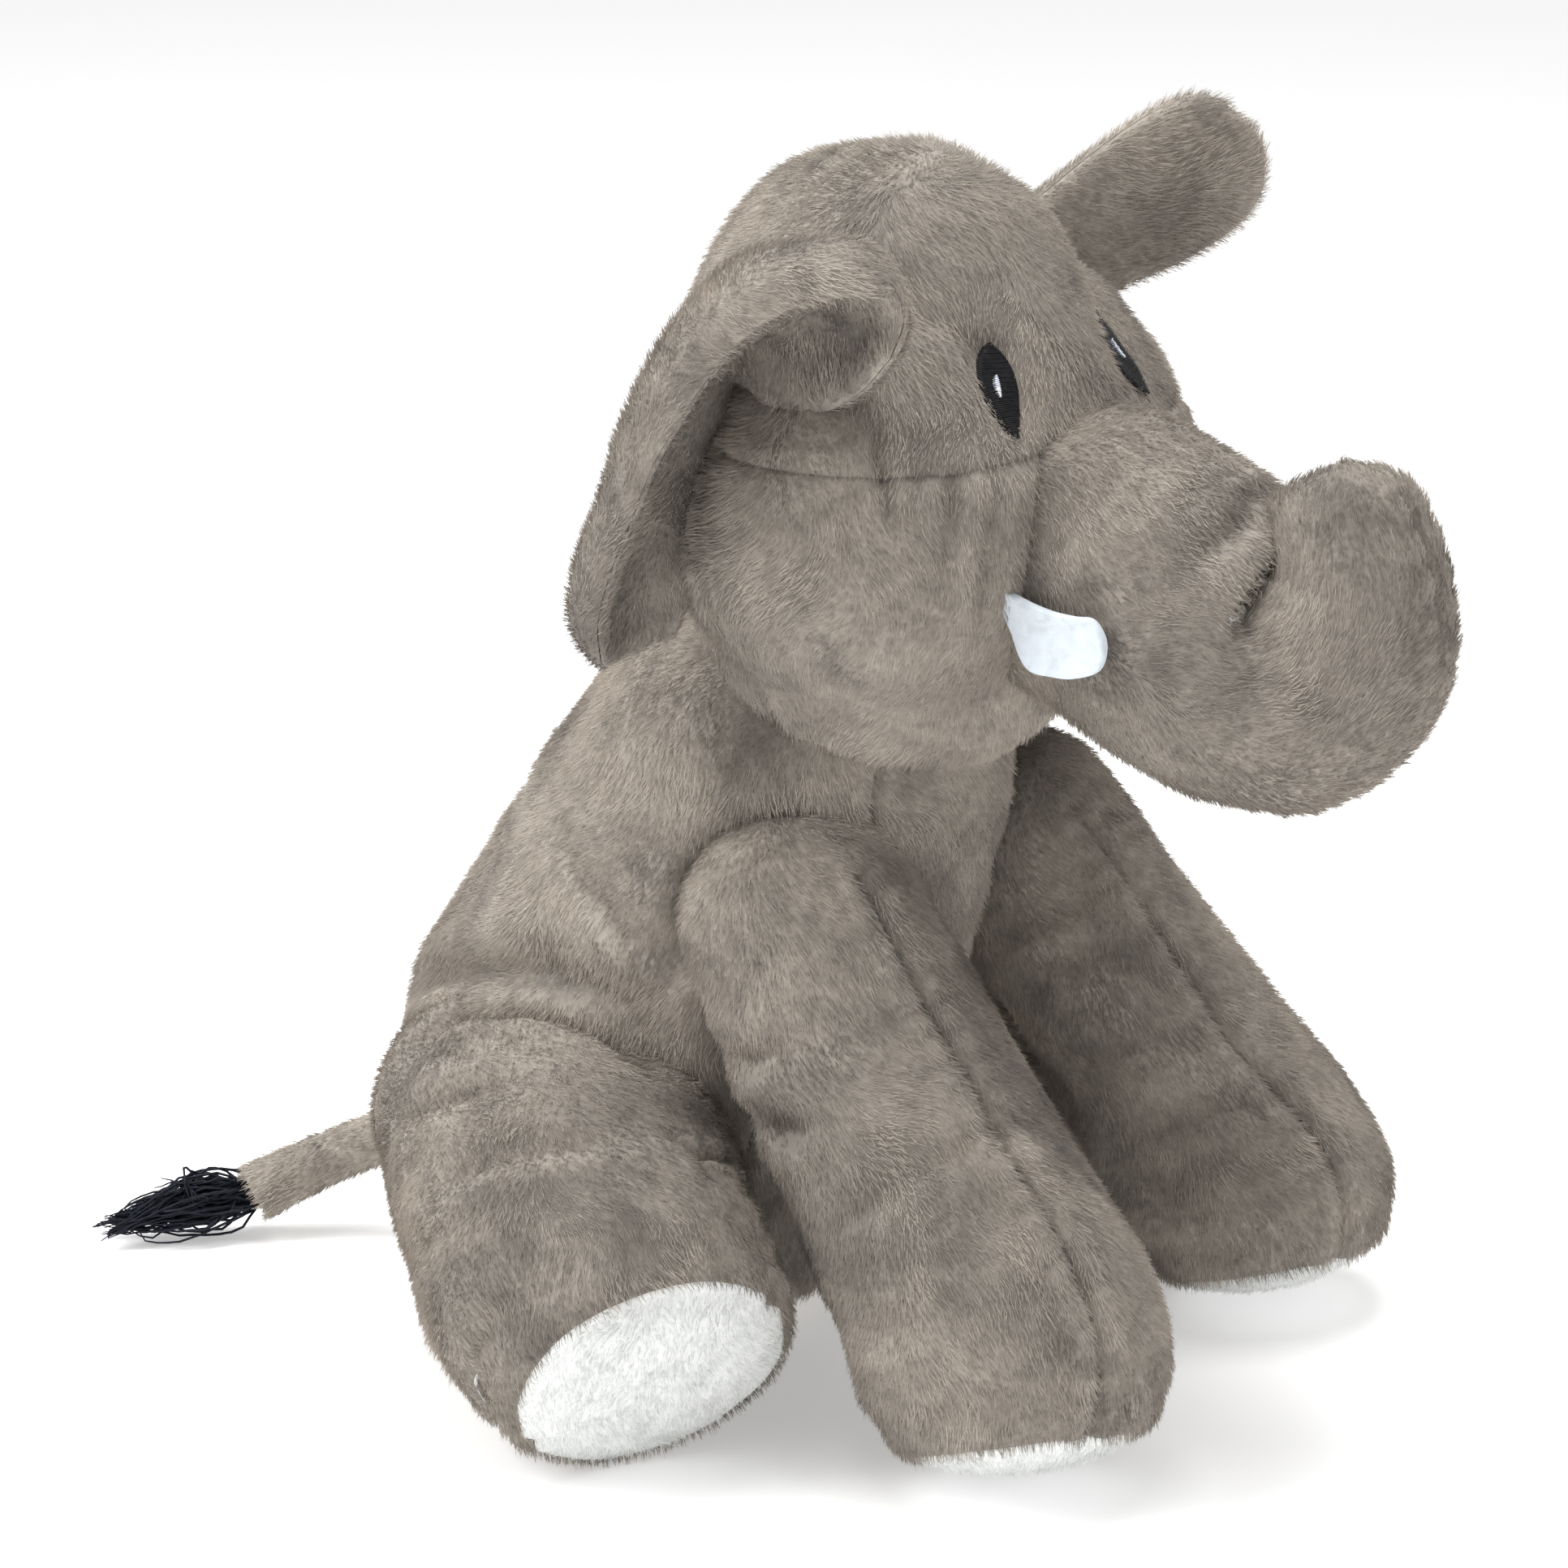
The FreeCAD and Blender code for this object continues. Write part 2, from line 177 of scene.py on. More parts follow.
def tube(path, side, rows, cols):
    """A grid round a path of (x, y, z, radius) rows. Column 0 faces side, and the columns turn left about the path."""
    path = curve(path, rows)
    centre, radius = path[:, :3], path[:, 3]
    way = unit(np.gradient(centre, axis=0))
    across = unit(np.asarray(side, float) - way * (way @ np.asarray(side, float))[:, None])
    up = np.cross(way, across)
    turn = np.radians(np.arange(cols) * 360.0 / cols)
    return (centre[:, None] + radius[:, None, None] * (across[:, None] * np.cos(turn)[None, :, None]
                                                       + up[:, None] * np.sin(turn)[None, :, None])), way


def domed(points, way, bulge, rows, start):
    """More rows that close the first or last ring of a grid with a dome."""
    ring = points[0] if start else points[-1]
    middle = ring.mean(0)
    made = []
    for k in range(1, rows + 1):
        turn = math.pi / 2 * k / rows
        made.append(middle + (ring - middle) * math.cos(turn) + way * (bulge * math.sin(turn)))
    made = np.array(made)
    return np.vstack([made[::-1], points]) if start else np.vstack([points, made])


def downward(way, first, last):
    """The way along a limb for every row, with those numbers of rows in its two domes."""
    return np.concatenate([np.repeat(way[:1], first, 0), way, np.repeat(way[-1:], last, 0)])[:, None]


def closed_round(grid):
    """The grid with its first column again at the end."""
    return np.concatenate([grid, grid[:, :1]], 1)


def settle(points):
    """Flattens what would press into the floor."""
    points[..., 2] = np.maximum(points[..., 2], 0.6 + 0.25 * np.maximum(points[..., 2], 0))


# ---- Meshes ----
def new_object(name, mesh, material):
    obj = bpy.data.objects.new(name, mesh)
    bpy.context.scene.collection.objects.link(obj)
    mesh.materials.append(material)
    mesh.shade_smooth()
    return obj


def write_pile(mesh, pile, comb):
    spot = mesh.attributes.new("pile", "FLOAT", "POINT")
    spot.data.foreach_set("value", np.asarray(pile, np.float32).ravel())
    spot = mesh.attributes.new("comb", "FLOAT_VECTOR", "POINT")
    spot.data.foreach_set("vector", np.asarray(comb, np.float32).ravel())


def tidy_mesh(mesh, reach=2e-5):
    """Joins the points that meet at a pole."""
    work = bmesh.new()
    work.from_mesh(mesh)
    bmesh.ops.remove_doubles(work, verts=work.verts, dist=reach)
    bmesh.ops.dissolve_degenerate(work, edges=work.edges, dist=reach / 4)
    work.to_mesh(mesh)
    work.free()


def grid_faces(rows, cols, offset=0, flip=False):
    i, j = np.meshgrid(np.arange(rows - 1), np.arange(cols - 1), indexing="ij")
    a = (i * cols + j).ravel() + offset
    quad = np.stack([a, a + 1, a + cols + 1, a + cols], 1)
    return quad[:, ::-1] if flip else quad


def layer(name, outer, inner, pile, comb, material):
    """A closed piece of fabric between an outer and an inner grid."""
    rows, cols = outer.shape[:2]
    n = rows * cols
    index = np.arange(n).reshape(rows, cols)
    edge = np.concatenate([index[0, :], index[1:, -1], index[-1, -2::-1], index[-2:0:-1, 0]])
    rim = np.stack([edge, edge + n, np.roll(edge, -1) + n, np.roll(edge, -1)], 1)
    faces = np.vstack([grid_faces(rows, cols), grid_faces(rows, cols, n, True), rim])
    points = np.vstack([outer.reshape(-1, 3), inner.reshape(-1, 3)]) * MM
    mesh = bpy.data.meshes.new(name)
    mesh.from_pydata(points.tolist(), [], faces.tolist())
    write_pile(mesh, np.concatenate([pile.ravel(), np.zeros(n)]), np.vstack([comb.reshape(-1, 3), np.zeros((n, 3))]))
    tidy_mesh(mesh)
    return new_object(name, mesh, material)


def panel(name, skin, rows, cols, thick, material):
    part = skin.cut(rows, cols)
    return layer(name, part.points, part.points - part.normals * thick, part.pile, part.comb, material)


def closed_form(name, points, material):
    """A grid closed round its columns, with both ends drawn to a point."""
    rows, cols = points.shape[:2]
    mesh = bpy.data.meshes.new(name)
    flat = closed_round(points).reshape(-1, 3)
    faces = grid_faces(rows, cols + 1).tolist()
    faces += [list(range(cols))[::-1], [(rows - 1) * (cols + 1) + j for j in range(cols)]]
    mesh.from_pydata((flat * MM).tolist(), [], faces)
    tidy_mesh(mesh)
    return new_object(name, mesh, material)


def rope(points, faces, centres, across, up, sizes, sides, twist=0.0):
    """Adds a closed thread or yarn with that many sides along a line of centres."""
    base, last = len(points), len(centres) - 1
    for i, centre in enumerate(centres):
        for j in range(sides):
            turn = 2 * math.pi * j / sides + i * twist
            points.append(centre + (across[i] * math.cos(turn) + up[i] * math.sin(turn)) * sizes[i])
    for i in range(last):
        for j in range(sides):
            a, b = base + i * sides + j, base + i * sides + (j + 1) % sides
            faces.append((a, b, b + sides, a + sides))
    faces.append(tuple(base + j for j in range(sides))[::-1])
    faces.append(tuple(base + last * sides + j for j in range(sides)))


def sewn(obj, node, body):
    """Puts a finished piece in place of its node."""
    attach(obj, body)
    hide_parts(node)


# ---- Pile ----
def pile_tree():
    """Geometry nodes that grow short combed strands wherever the pile value isn't 0."""
    tree = bpy.data.node_groups.get("Woven pile")
    if tree:
        return tree
    tree = bpy.data.node_groups.new("Woven pile", "GeometryNodeTree")
    face = tree.interface
    face.new_socket("Geometry", in_out="INPUT", socket_type="NodeSocketGeometry")
    face.new_socket("Skin", in_out="INPUT", socket_type="NodeSocketObject")
    for name, value in (("Density", 1.2e6), ("Length", 0.0034), ("Thickness", 0.0001), ("Clump", 0.6), ("Clump Scale", 620.0)):
        face.new_socket(name, in_out="INPUT", socket_type="NodeSocketFloat").default_value = value
    face.new_socket("Material", in_out="INPUT", socket_type="NodeSocketMaterial")
    face.new_socket("Geometry", in_out="OUTPUT", socket_type="NodeSocketGeometry")
    add, link = tree.nodes.new, tree.links.new

    def math_node(operation, a, b):
        node = add("ShaderNodeMath")
        node.operation = operation
        for socket, value in zip(node.inputs, (a, b)):
            if isinstance(value, (int, float)):
                socket.default_value = value
            else:
                link(value, socket)
        return node.outputs[0]

    def vector_node(operation, a, b=None, scale=None):
        node = add("ShaderNodeVectorMath")
        node.operation = operation
        link(a, node.inputs[0])
        if b is not None:
            link(b, node.inputs[1])
        if scale is not None:
            link(scale, node.inputs["Scale"])
        return node.outputs[0]

    given, result = add("NodeGroupInput"), add("NodeGroupOutput")
    pile = add("GeometryNodeInputNamedAttribute")
    pile.inputs["Name"].default_value = "pile"
    comb = add("GeometryNodeInputNamedAttribute")
    comb.data_type = "FLOAT_VECTOR"
    comb.inputs["Name"].default_value = "comb"
    spread = add("GeometryNodeDistributePointsOnFaces")
    spread.inputs["Seed"].default_value = 3
    cloth = add("GeometryNodeObjectInfo")
    cloth.transform_space = "RELATIVE"
    link(given.outputs["Skin"], cloth.inputs["Object"])
    link(cloth.outputs["Geometry"], spread.inputs["Mesh"])
    link(math_node("MULTIPLY", pile.outputs["Attribute"], given.outputs["Density"]), spread.inputs["Density"])
    kept = add("GeometryNodeCaptureAttribute")
    kept.capture_items.new("VECTOR", "root")
    link(spread.outputs["Points"], kept.inputs["Geometry"])
    link(add("GeometryNodeInputPosition").outputs[0], kept.inputs["root"])
    line = add("GeometryNodeCurvePrimitiveLine")
    line.inputs["End"].default_value = (0, 0, 1)
    strand = add("GeometryNodeResampleCurve")
    strand.inputs["Count"].default_value = 4
    link(line.outputs[0], strand.inputs["Curve"])
    placed = add("GeometryNodeInstanceOnPoints")
    link(kept.outputs["Geometry"], placed.inputs["Points"])
    link(strand.outputs[0], placed.inputs["Instance"])
    stray = add("FunctionNodeRandomValue")
    stray.data_type = "FLOAT_VECTOR"
    stray.inputs[0].default_value = (-0.32,) * 3
    stray.inputs[1].default_value = (0.32,) * 3
    lie = vector_node("ADD", vector_node("ADD", spread.outputs["Normal"], comb.outputs["Attribute"]), stray.outputs[0])
    turned = add("FunctionNodeAlignRotationToVector")
    turned.axis = "Z"
    link(lie, turned.inputs["Vector"])
    link(turned.outputs[0], placed.inputs["Rotation"])
    size = add("FunctionNodeRandomValue")
    size.inputs[2].default_value, size.inputs[3].default_value = 0.65, 1.15
    length = math_node("MULTIPLY", size.outputs[1], given.outputs["Length"])
    length = math_node("MULTIPLY", length, math_node("ADD", math_node("MULTIPLY", pile.outputs["Attribute"], 0.65), 0.35))
    link(length, placed.inputs["Scale"])
    real = add("GeometryNodeRealizeInstances")
    link(placed.outputs[0], real.inputs[0])
    along = add("GeometryNodeSplineParameter").outputs["Factor"]
    cells = add("ShaderNodeTexVoronoi")
    link(given.outputs["Clump Scale"], cells.inputs["Scale"])
    link(kept.outputs["root"], cells.inputs["Vector"])
    pull = vector_node("SUBTRACT", cells.outputs["Position"], kept.outputs["root"])
    pull = vector_node("SCALE", pull, scale=math_node("MULTIPLY", along, given.outputs["Clump"]))
    moved = add("GeometryNodeSetPosition")
    link(real.outputs[0], moved.inputs["Geometry"])
    link(pull, moved.inputs["Offset"])
    taper = add("ShaderNodeMapRange")
    taper.inputs["To Min"].default_value, taper.inputs["To Max"].default_value = 1.0, 0.3
    link(along, taper.inputs["Value"])
    thin = add("GeometryNodeSetCurveRadius")
    link(moved.outputs[0], thin.inputs["Curve"])
    link(math_node("MULTIPLY", taper.outputs[0], given.outputs["Thickness"]), thin.inputs["Radius"])
    dressed = add("GeometryNodeSetMaterial")
    link(thin.outputs[0], dressed.inputs["Geometry"])
    link(given.outputs["Material"], dressed.inputs["Material"])
    link(dressed.outputs[0], result.inputs[0])
    return tree


def grow_pile(obj, material, **values):
    """Adds the pile that grows from a skin and goes with it."""
    tree = pile_tree()
    pile = bpy.data.objects.new("pile." + obj.name, bpy.data.hair_curves.new("pile." + obj.name))
    bpy.context.scene.collection.objects.link(pile)
    pile.parent = obj
    pile.data.materials.append(material)
    grown = pile.modifiers.new("Pile", "NODES")
    grown.node_group = tree
    values.update(Material=material, Skin=obj)
    for item in tree.interface.items_tree:
        if item.item_type == "SOCKET" and item.in_out == "INPUT" and item.name in values:
            grown[item.identifier] = values[item.name]


# ---- Materials ----
def sheen_and_tone_group():
    """Painted sheen: lighter and darker patches where the pile was stroked up or down, and painted shade in fine darker
    streaks between the strands.
    """
    tree = bpy.data.node_groups.get("Brushed pile")
    if tree:
        return tree
    tree = bpy.data.node_groups.new("Brushed pile", "ShaderNodeTree")
    face = tree.interface
    for name, kind, value in (("Middle", "NodeSocketColor", (0.4, 0.35, 0.3, 1)), ("Light", "NodeSocketColor", (0.6, 0.55, 0.5, 1)),
                              ("Dark", "NodeSocketColor", (0.2, 0.17, 0.15, 1)), ("Patch Scale", "NodeSocketFloat", 34.0),
                              ("Strand Scale", "NodeSocketFloat", 620.0), ("Strand Depth", "NodeSocketFloat", 0.5)):
        face.new_socket(name, in_out="INPUT", socket_type=kind).default_value = value
    face.new_socket("Color", in_out="OUTPUT", socket_type="NodeSocketColor")
    face.new_socket("Height", in_out="OUTPUT", socket_type="NodeSocketFloat")
    add, link = tree.nodes.new, tree.links.new
    given, result = add("NodeGroupInput"), add("NodeGroupOutput")
    place = add("ShaderNodeTexCoord").outputs["Object"]
    patch = add("ShaderNodeTexNoise")
    patch.inputs["Detail"].default_value, patch.inputs["Roughness"].default_value = 4.0, 0.62
    patch.inputs["Distortion"].default_value = 0.9
    link(place, patch.inputs["Vector"])
    link(given.outputs["Patch Scale"], patch.inputs["Scale"])
    strand = add("ShaderNodeTexVoronoi")
    link(place, strand.inputs["Vector"])
    link(given.outputs["Strand Scale"], strand.inputs["Scale"])
    fine = add("ShaderNodeTexNoise")
    fine.inputs["Scale"].default_value, fine.inputs["Detail"].default_value = 260.0, 3.0
    link(place, fine.inputs["Vector"])

    def ranged(value, low, high, first=0.0, last=1.0):
        node = add("ShaderNodeMapRange")
        node.interpolation_type = "SMOOTHSTEP"
        for socket, number in zip(node.inputs[1:5], (low, high, first, last)):
            socket.default_value = number
        link(value, node.inputs["Value"])
        return node.outputs[0]

    def mixed(factor, a, b):
        node = add("ShaderNodeMix")
        node.data_type = "RGBA"
        link(factor, node.inputs[0])
        link(a, node.inputs[6])
        link(b, node.inputs[7])
        return node.outputs[2]

    # painted sheen: patches of the colour lit lighter or darker, as pile stroked up or down catches the light
    warm = mixed(ranged(patch.outputs[0], 0.50, 0.60), given.outputs["Middle"], given.outputs["Light"])
    cool = mixed(ranged(patch.outputs[0], 0.48, 0.38), warm, given.outputs["Dark"])
    # painted shade: fine darker streaks between the strands, as strong as the strand shade input
    deep = add("ShaderNodeMath")
    deep.operation = "MULTIPLY"
    link(ranged(fine.outputs[0], 0.55, 0.30), deep.inputs[0])
    link(given.outputs["Strand Depth"], deep.inputs[1])
    link(mixed(deep.outputs[0], cool, given.outputs["Dark"]), result.inputs["Color"])
    rise = add("ShaderNodeMath")
    rise.operation = "MULTIPLY_ADD"
    rise.inputs[1].default_value, rise.inputs[2].default_value = -1.0, 1.0
    link(strand.outputs["Distance"], rise.inputs[0])
    link(rise.outputs[0], result.inputs["Height"])
    return tree


def fabric(name, middle, light, dark, patch=34.0, strand=620.0, strand_shade=0.5, bump=0.4, rough=0.85, sheen=0.25, hair=False, reach=0.0006):
    """A pile fabric, or with hair the strands that grow from it, coloured with painted sheen patches and painted shade
    between the strands.
    """
    made = bpy.data.materials.get(name)
    if made:
        return made
    made = bpy.data.materials.new(name)
    made.use_nodes = True
    nodes, link = made.node_tree.nodes, made.node_tree.links.new
    shader = nodes["Principled BSDF"]
    shader.inputs["Roughness"].default_value = rough
    shader.inputs["Specular IOR Level"].default_value = 0.25
    shader.inputs["Sheen Weight"].default_value = sheen
    shader.inputs["Sheen Roughness"].default_value = 0.5
    group = nodes.new("ShaderNodeGroup")
    group.node_tree = sheen_and_tone_group()
    for socket, value in (("Middle", middle), ("Light", light), ("Dark", dark)):
        group.inputs[socket].default_value = (*value, 1)
    for socket, value in (("Patch Scale", patch), ("Strand Scale", strand), ("Strand Depth", strand_shade)):
        group.inputs[socket].default_value = value
    colour = group.outputs["Color"]
    if hair:
        info = nodes.new("ShaderNodeHairInfo")
        vary = nodes.new("ShaderNodeMapRange")
        vary.inputs["To Min"].default_value, vary.inputs["To Max"].default_value = 0.78, 1.18
        link(info.outputs["Random"], vary.inputs["Value"])
        tint = nodes.new("ShaderNodeHueSaturation")
        link(vary.outputs[0], tint.inputs["Value"])
        link(colour, tint.inputs["Color"])
        colour = tint.outputs[0]
    elif bump:
        raised = nodes.new("ShaderNodeBump")
        raised.inputs["Strength"].default_value, raised.inputs["Distance"].default_value = bump, reach
        link(group.outputs["Height"], raised.inputs["Height"])
        link(raised.outputs[0], shader.inputs["Normal"])
    link(colour, shader.inputs["Base Color"])
    return made


def shade(colour, by):
    return tuple(min(1.0, c * by) for c in colour)


def plush(hair):
    s = bpy.context.scene.elephant_plush
    c = tuple(s.grey)
    # painted sheen: the pile is coloured in patches lighter and darker than the plain grey
    if hair:
        return fabric("Grey plush pile", c, shade(c, 1.32), shade(c, 0.66), patch=26, hair=True, strand_shade=0.3, rough=0.7, sheen=0.1)
    # painted shade: the skin under the pile is darker than the pile, as the shade among its roots
    return fabric("Grey plush skin", shade(c, 0.8), shade(c, 1.0), shade(c, 0.5), patch=22, bump=0.6)


def white(hair):
    c = tuple(bpy.context.scene.elephant_plush.sole)
    name = "White sole pile" if hair else "White sole skin"
    # painted sheen: faint lighter and darker patches on the white sole and its pile
    return fabric(name, c, shade(c, 1.05), shade(c, 0.9), patch=60, strand_shade=0.15, hair=hair, bump=0.4)


def felt_material():
    c = tuple(bpy.context.scene.elephant_trim.felt)
    return fabric("White felt", c, shade(c, 1.05), shade(c, 0.9), patch=160, strand=2600, strand_shade=0.3, bump=0.35, reach=0.0003)


def thread_material(name, colour, rough=0.5):
    return fabric(name, colour, shade(colour, 1.5), shade(colour, 0.6), patch=300, strand=3000, strand_shade=0.3,
                  bump=0.15, rough=rough, sheen=0.0, reach=0.0001)


def filling_material():
    return fabric("Fibre filling", (0.86, 0.86, 0.84), (0.93, 0.93, 0.92), (0.6, 0.6, 0.58), patch=90, strand=420, strand_shade=0.35, bump=0.8)


# ---- Shapes of the sewn pieces ----
BODY_ROWS, HEAD_COLS, TORSO_COLS = 150, 288, 288
LEG_ROWS, LEG_COLS, LIMB_SEAMS = 130, 144, (36, 108)
SEAT_BULGE = 7.6
BROW_HEIGHT = 236.0
LEGS = {
    "front_right_leg": dict(
        path=[(-36, -72, 122, 28), (-41, -98, 87, 30), (-46, -121, 58, 33), (-51, -138, 38, 35.5), (-54, -145, 25.5, 35)],
        sole=(-0.25, -0.30, -0.92), reach=15.0, rim=27, side=(-0.93, 0.37, 0), bulge=6,
        folds=[([(-60, -60, 92), (-66, -78, 95), (-68, -93, 101)], 3.2, 3.4),
               ([(-60, -69, 78), (-70, -90, 81), (-71, -104, 86)], 3.0, 3.4),
               ([(-40, -124, 70), (-60, -118, 66), (-74, -106, 62)], 1.6, 4.0),
               ([(-66, -140, 44), (-76, -124, 46), (-78, -110, 48)], 1.2, 3.5)]),
    "front_left_leg": dict(
        path=[(50, -78, 121, 26.5), (59, -103, 86, 27.5), (70, -118, 58, 30.5), (78, -130, 37, 33.5), (80, -135, 24.5, 33.5)],
        sole=(-0.10, -0.30, -0.95), reach=15.0, rim=27, side=(0.93, -0.37, 0), bulge=6,
        folds=[([(29, -95, 90), (31, -110, 99), (39, -121, 97)], 2.4, 3.4),
               ([(36, -104, 74), (44, -124, 78), (54, -134, 76)], 2.0, 3.6),
               ([(48, -118, 56), (56, -138, 60), (68, -146, 58)], 1.5, 3.6)]),
    "hind_right_leg": dict(
        path=[(-44, 2, 60, 37), (-70, -30, 51, 41), (-90, -52, 43, 40), (-97, -66, 38, 37)],
        sole=(-0.44, -0.72, -0.53), reach=16.2, rim=33.5, side=(-0.81, -0.58, 0), bulge=6,
        folds=[([(-73, 12, 82), (-67, 2, 92), (-65, -17, 94), (-64, -35, 90), (-67, -51, 84)], 4.2, 3.8),
               ([(-110, -20, 63), (-110, -36, 74), (-106, -51, 80), (-96, -62, 81)], 2.4, 4.0),
               ([(-88, 4, 69), (-92, -17, 81), (-90, -32, 85)], 2.8, 3.8),
               ([(-104, -10, 46), (-112, -30, 56), (-113, -44, 62)], 1.6, 4.0)]),
    "hind_left_leg": dict(
        path=[(46, -2, 60, 37), (74, -30, 51, 41), (99, -49, 44, 40), (112, -60, 38, 37)],
        sole=(0.44, -0.72, -0.53), reach=16.2, rim=33.5, side=(0.81, -0.58, 0), bulge=6,
        folds=[([(73, 12, 82), (67, 2, 92), (65, -17, 94), (66, -35, 90)], 3.6, 3.8),
               ([(112, -20, 66), (112, -36, 76), (106, -51, 82)], 2.2, 4.0),
               ([(60, -66, 60), (72, -70, 72), (84, -66, 82)], 2.2, 3.6)]),
}


@functools.lru_cache(maxsize=None)
def leg_skin(name, index):
    """The grid of a leg from its rounded root to the seam of its sole."""
    data = LEGS[name]
    path = np.array(data["path"], float)
    normal = unit(data["sole"])
    end = np.append(path[-1, :3] + normal * data["reach"], data["rim"])
    points, way = tube(np.vstack([path, end]), data["side"], LEG_ROWS, LEG_COLS)
    turn = np.clip((np.arange(LEG_ROWS) - LEG_ROWS * 0.66) / (LEG_ROWS * 0.34), 0, 1)
    centre = points.mean(1)
    # the last rows turn so that the seam lies square to the sole
    for i in range(LEG_ROWS):
        if turn[i] > 0:
            a, b = way[i], unit(way[i] * (1 - turn[i]) + normal * turn[i])
            axis = np.cross(a, b)
            s, c = np.linalg.norm(axis), float(a @ b)
            if s > 1e-6:
                axis = axis / s
                v = points[i] - centre[i]
                points[i] = centre[i] + v * c + np.cross(axis, v) * s + axis * (v @ axis)[:, None] * (1 - c)
    points = domed(points, -way[0], path[0, 3] * 0.9, 14, True)
    skin = Skin(points, downward(way, 14, 0))
    skin.lumps(10 + index, 0.9)
    for line, deep, wide in data["folds"]:
        skin.fold(line, deep, wide)
    for col in LIMB_SEAMS:
        skin.seam(points[16::6, col], deep=1.9, wide=1.4, lip=1.5, seed=index)
    far = np.linalg.norm(points - points[-1:], axis=-1)
    skin.height += -1.5 * np.exp(-(far / 2.2) ** 2) + 0.9 * np.exp(-((far - 6) / 3.0) ** 2)
    skin.finish(20 + 3 * index, 34)
    settle(skin.points)
    skin.normal, skin.bulge = normal, data["bulge"]
    return skin


def disc(ring, normal, bulge, rows):
    """Rows from a ring in to the middle of a domed patch."""
    middle = ring.mean(0)
    made = []
    for k in range(rows + 1):
        share = 1 - k / rows
        made.append(middle + (ring - middle) * share + normal * (bulge * (1 - share ** 2.6)))
    return np.array(made)


TORSO_ROWS = [(9, 0.0, 48.5, 48.5), (20, -0.8, 55, 54), (34, -2.5, 60, 59), (50, -4.4, 62.5, 62), (78, -12, 67, 67), (94, -18, 65.5, 67),
              (109, -25.5, 63.5, 65.5), (122, -32, 61, 62.5), (134, -38.5, 58, 60), (150, -44, 53.5, 55.5), (163, -48, 48.5, 50),
              (176, -51, 40, 42), (186, -52, 27, 29), (191, -52, 12, 13), (192, -52, 0.2, 0.2)]
TORSO_SEAMS = (72, 188, 244)
HEAD_ROWS = [(152, -78.2, 0.3, 0.3), (152.6, -78.2, 9, 8), (154.5, -78.2, 20, 17), (158, -78.4, 31, 26), (164, -79, 39.5, 33.5),
             (171, -79.2, 45.5, 37.5), (180, -80.5, 53, 42.5), (190, -81.4, 59, 46.5), (200, -82, 63.2, 50), (211, -82.3, 66, 52.2),
             (222, -82, 65, 52.6), (232, -80.5, 62.2, 52), (242, -78.5, 57.5, 51), (252, -76.2, 52.4, 49), (262, -74.6, 47.5, 45.5),
             (272, -74, 42.5, 41), (281, -74, 36, 35.5), (289, -74, 27.5, 28), (294.5, -74, 18, 19), (298, -74, 8.5, 9),
             (299, -74, 0.3, 0.3)]
HEAD_SEAMS = (10, 134, 216)
# the filling swells the cheeks and the brow beside each eye: a middle and a radius
HEAD_SWELLS = [(side * x, y, z, r) for side in (-1, 1) for x, y, z, r in ((33, -92, 216, 41), (34, -90, 238, 30))]
SWELL_SOFTNESS = 9.0
EYE = (24.5, -115.6, 249.0)


def stacked(rows, count, cols):
    """A grid of level ovals, from (height, y, half-width, half-depth) rows."""
    rows = curve(rows, count)
    turn = np.radians(np.arange(cols) * 360.0 / cols)
    x = rows[:, 2:3] * np.cos(turn)
    y = rows[:, 1:2] + rows[:, 3:4] * np.sin(turn)
    z = np.broadcast_to(rows[:, :1], x.shape)
    return np.stack([x, y, z], -1)


def swelled(points, swells, soft):
    """Pushes level rows out wherever a ball of filling reaches past them, with a soft join."""
    middle = points.mean(1, keepdims=True)
    out = (points - middle)[..., :2]
    reach = np.linalg.norm(out, axis=-1)
    way = out / np.maximum(reach, 1e-6)[..., None]
    for x, y, z, radius in swells:
        to = np.array([x, y]) - middle[..., :2]
        ahead = (to * way).sum(-1)
        root = radius ** 2 - (points[..., 2] - z) ** 2 - (to ** 2).sum(-1) + ahead ** 2
        far = np.where(root > 0, ahead + np.sqrt(np.maximum(root, 0)), -1e3)
        reach = np.maximum(reach, far) + np.maximum(soft - np.abs(reach - far), 0) ** 2 / (4 * soft)
    return np.concatenate([middle[..., :2] + way * reach[..., None], points[..., 2:]], -1)


@functools.lru_cache(maxsize=None)
def torso_skin():
    """The grid of the torso, from the ring of the seat up to the neck."""
    points = stacked(TORSO_ROWS, BODY_ROWS, TORSO_COLS)
    skin = Skin(points, (0, 0.25, -1))
    skin.lumps(1, 1.0)
    for col in TORSO_SEAMS:
        skin.seam(points[2:138:6, col], seed=col)
    for line, deep, wide in (
            ([(-41, 42, 83), (-59, 12, 98), (-62, -10, 104), (-62, -29, 104), (-59, -43, 99), (-58, -47, 89)], 4.6, 4.4),
            ([(-52, -15, 138), (-57, -25, 131), (-59, -36, 122), (-58, -47, 113), (-56, -53, 110)], 2.2, 3.6),
            ([(-56, -52, 109), (-53, -53, 125), (-50, -58, 137), (-47, -67, 144), (-40, -79, 145)], 3.2, 3.8),
            ([(41, 42, 83), (59, 12, 98), (62, -10, 104), (62, -29, 104), (60, -43, 99)], 4.2, 4.4),
            ([(54, -52, 112), (56, -58, 128), (55, -66, 140), (50, -78, 144)], 3.0, 3.8),
            ([(-20, 52, 60), (0, 56, 62), (22, 52, 58)], 1.4, 5.0),
            ([(-30, 20, 140), (-10, 12, 152), (14, 12, 153)], 1.2, 5.0)):
        skin.fold(line, deep, wide)
    skin.pile[132:] = 0
    skin.finish(2, 45)
    return skin


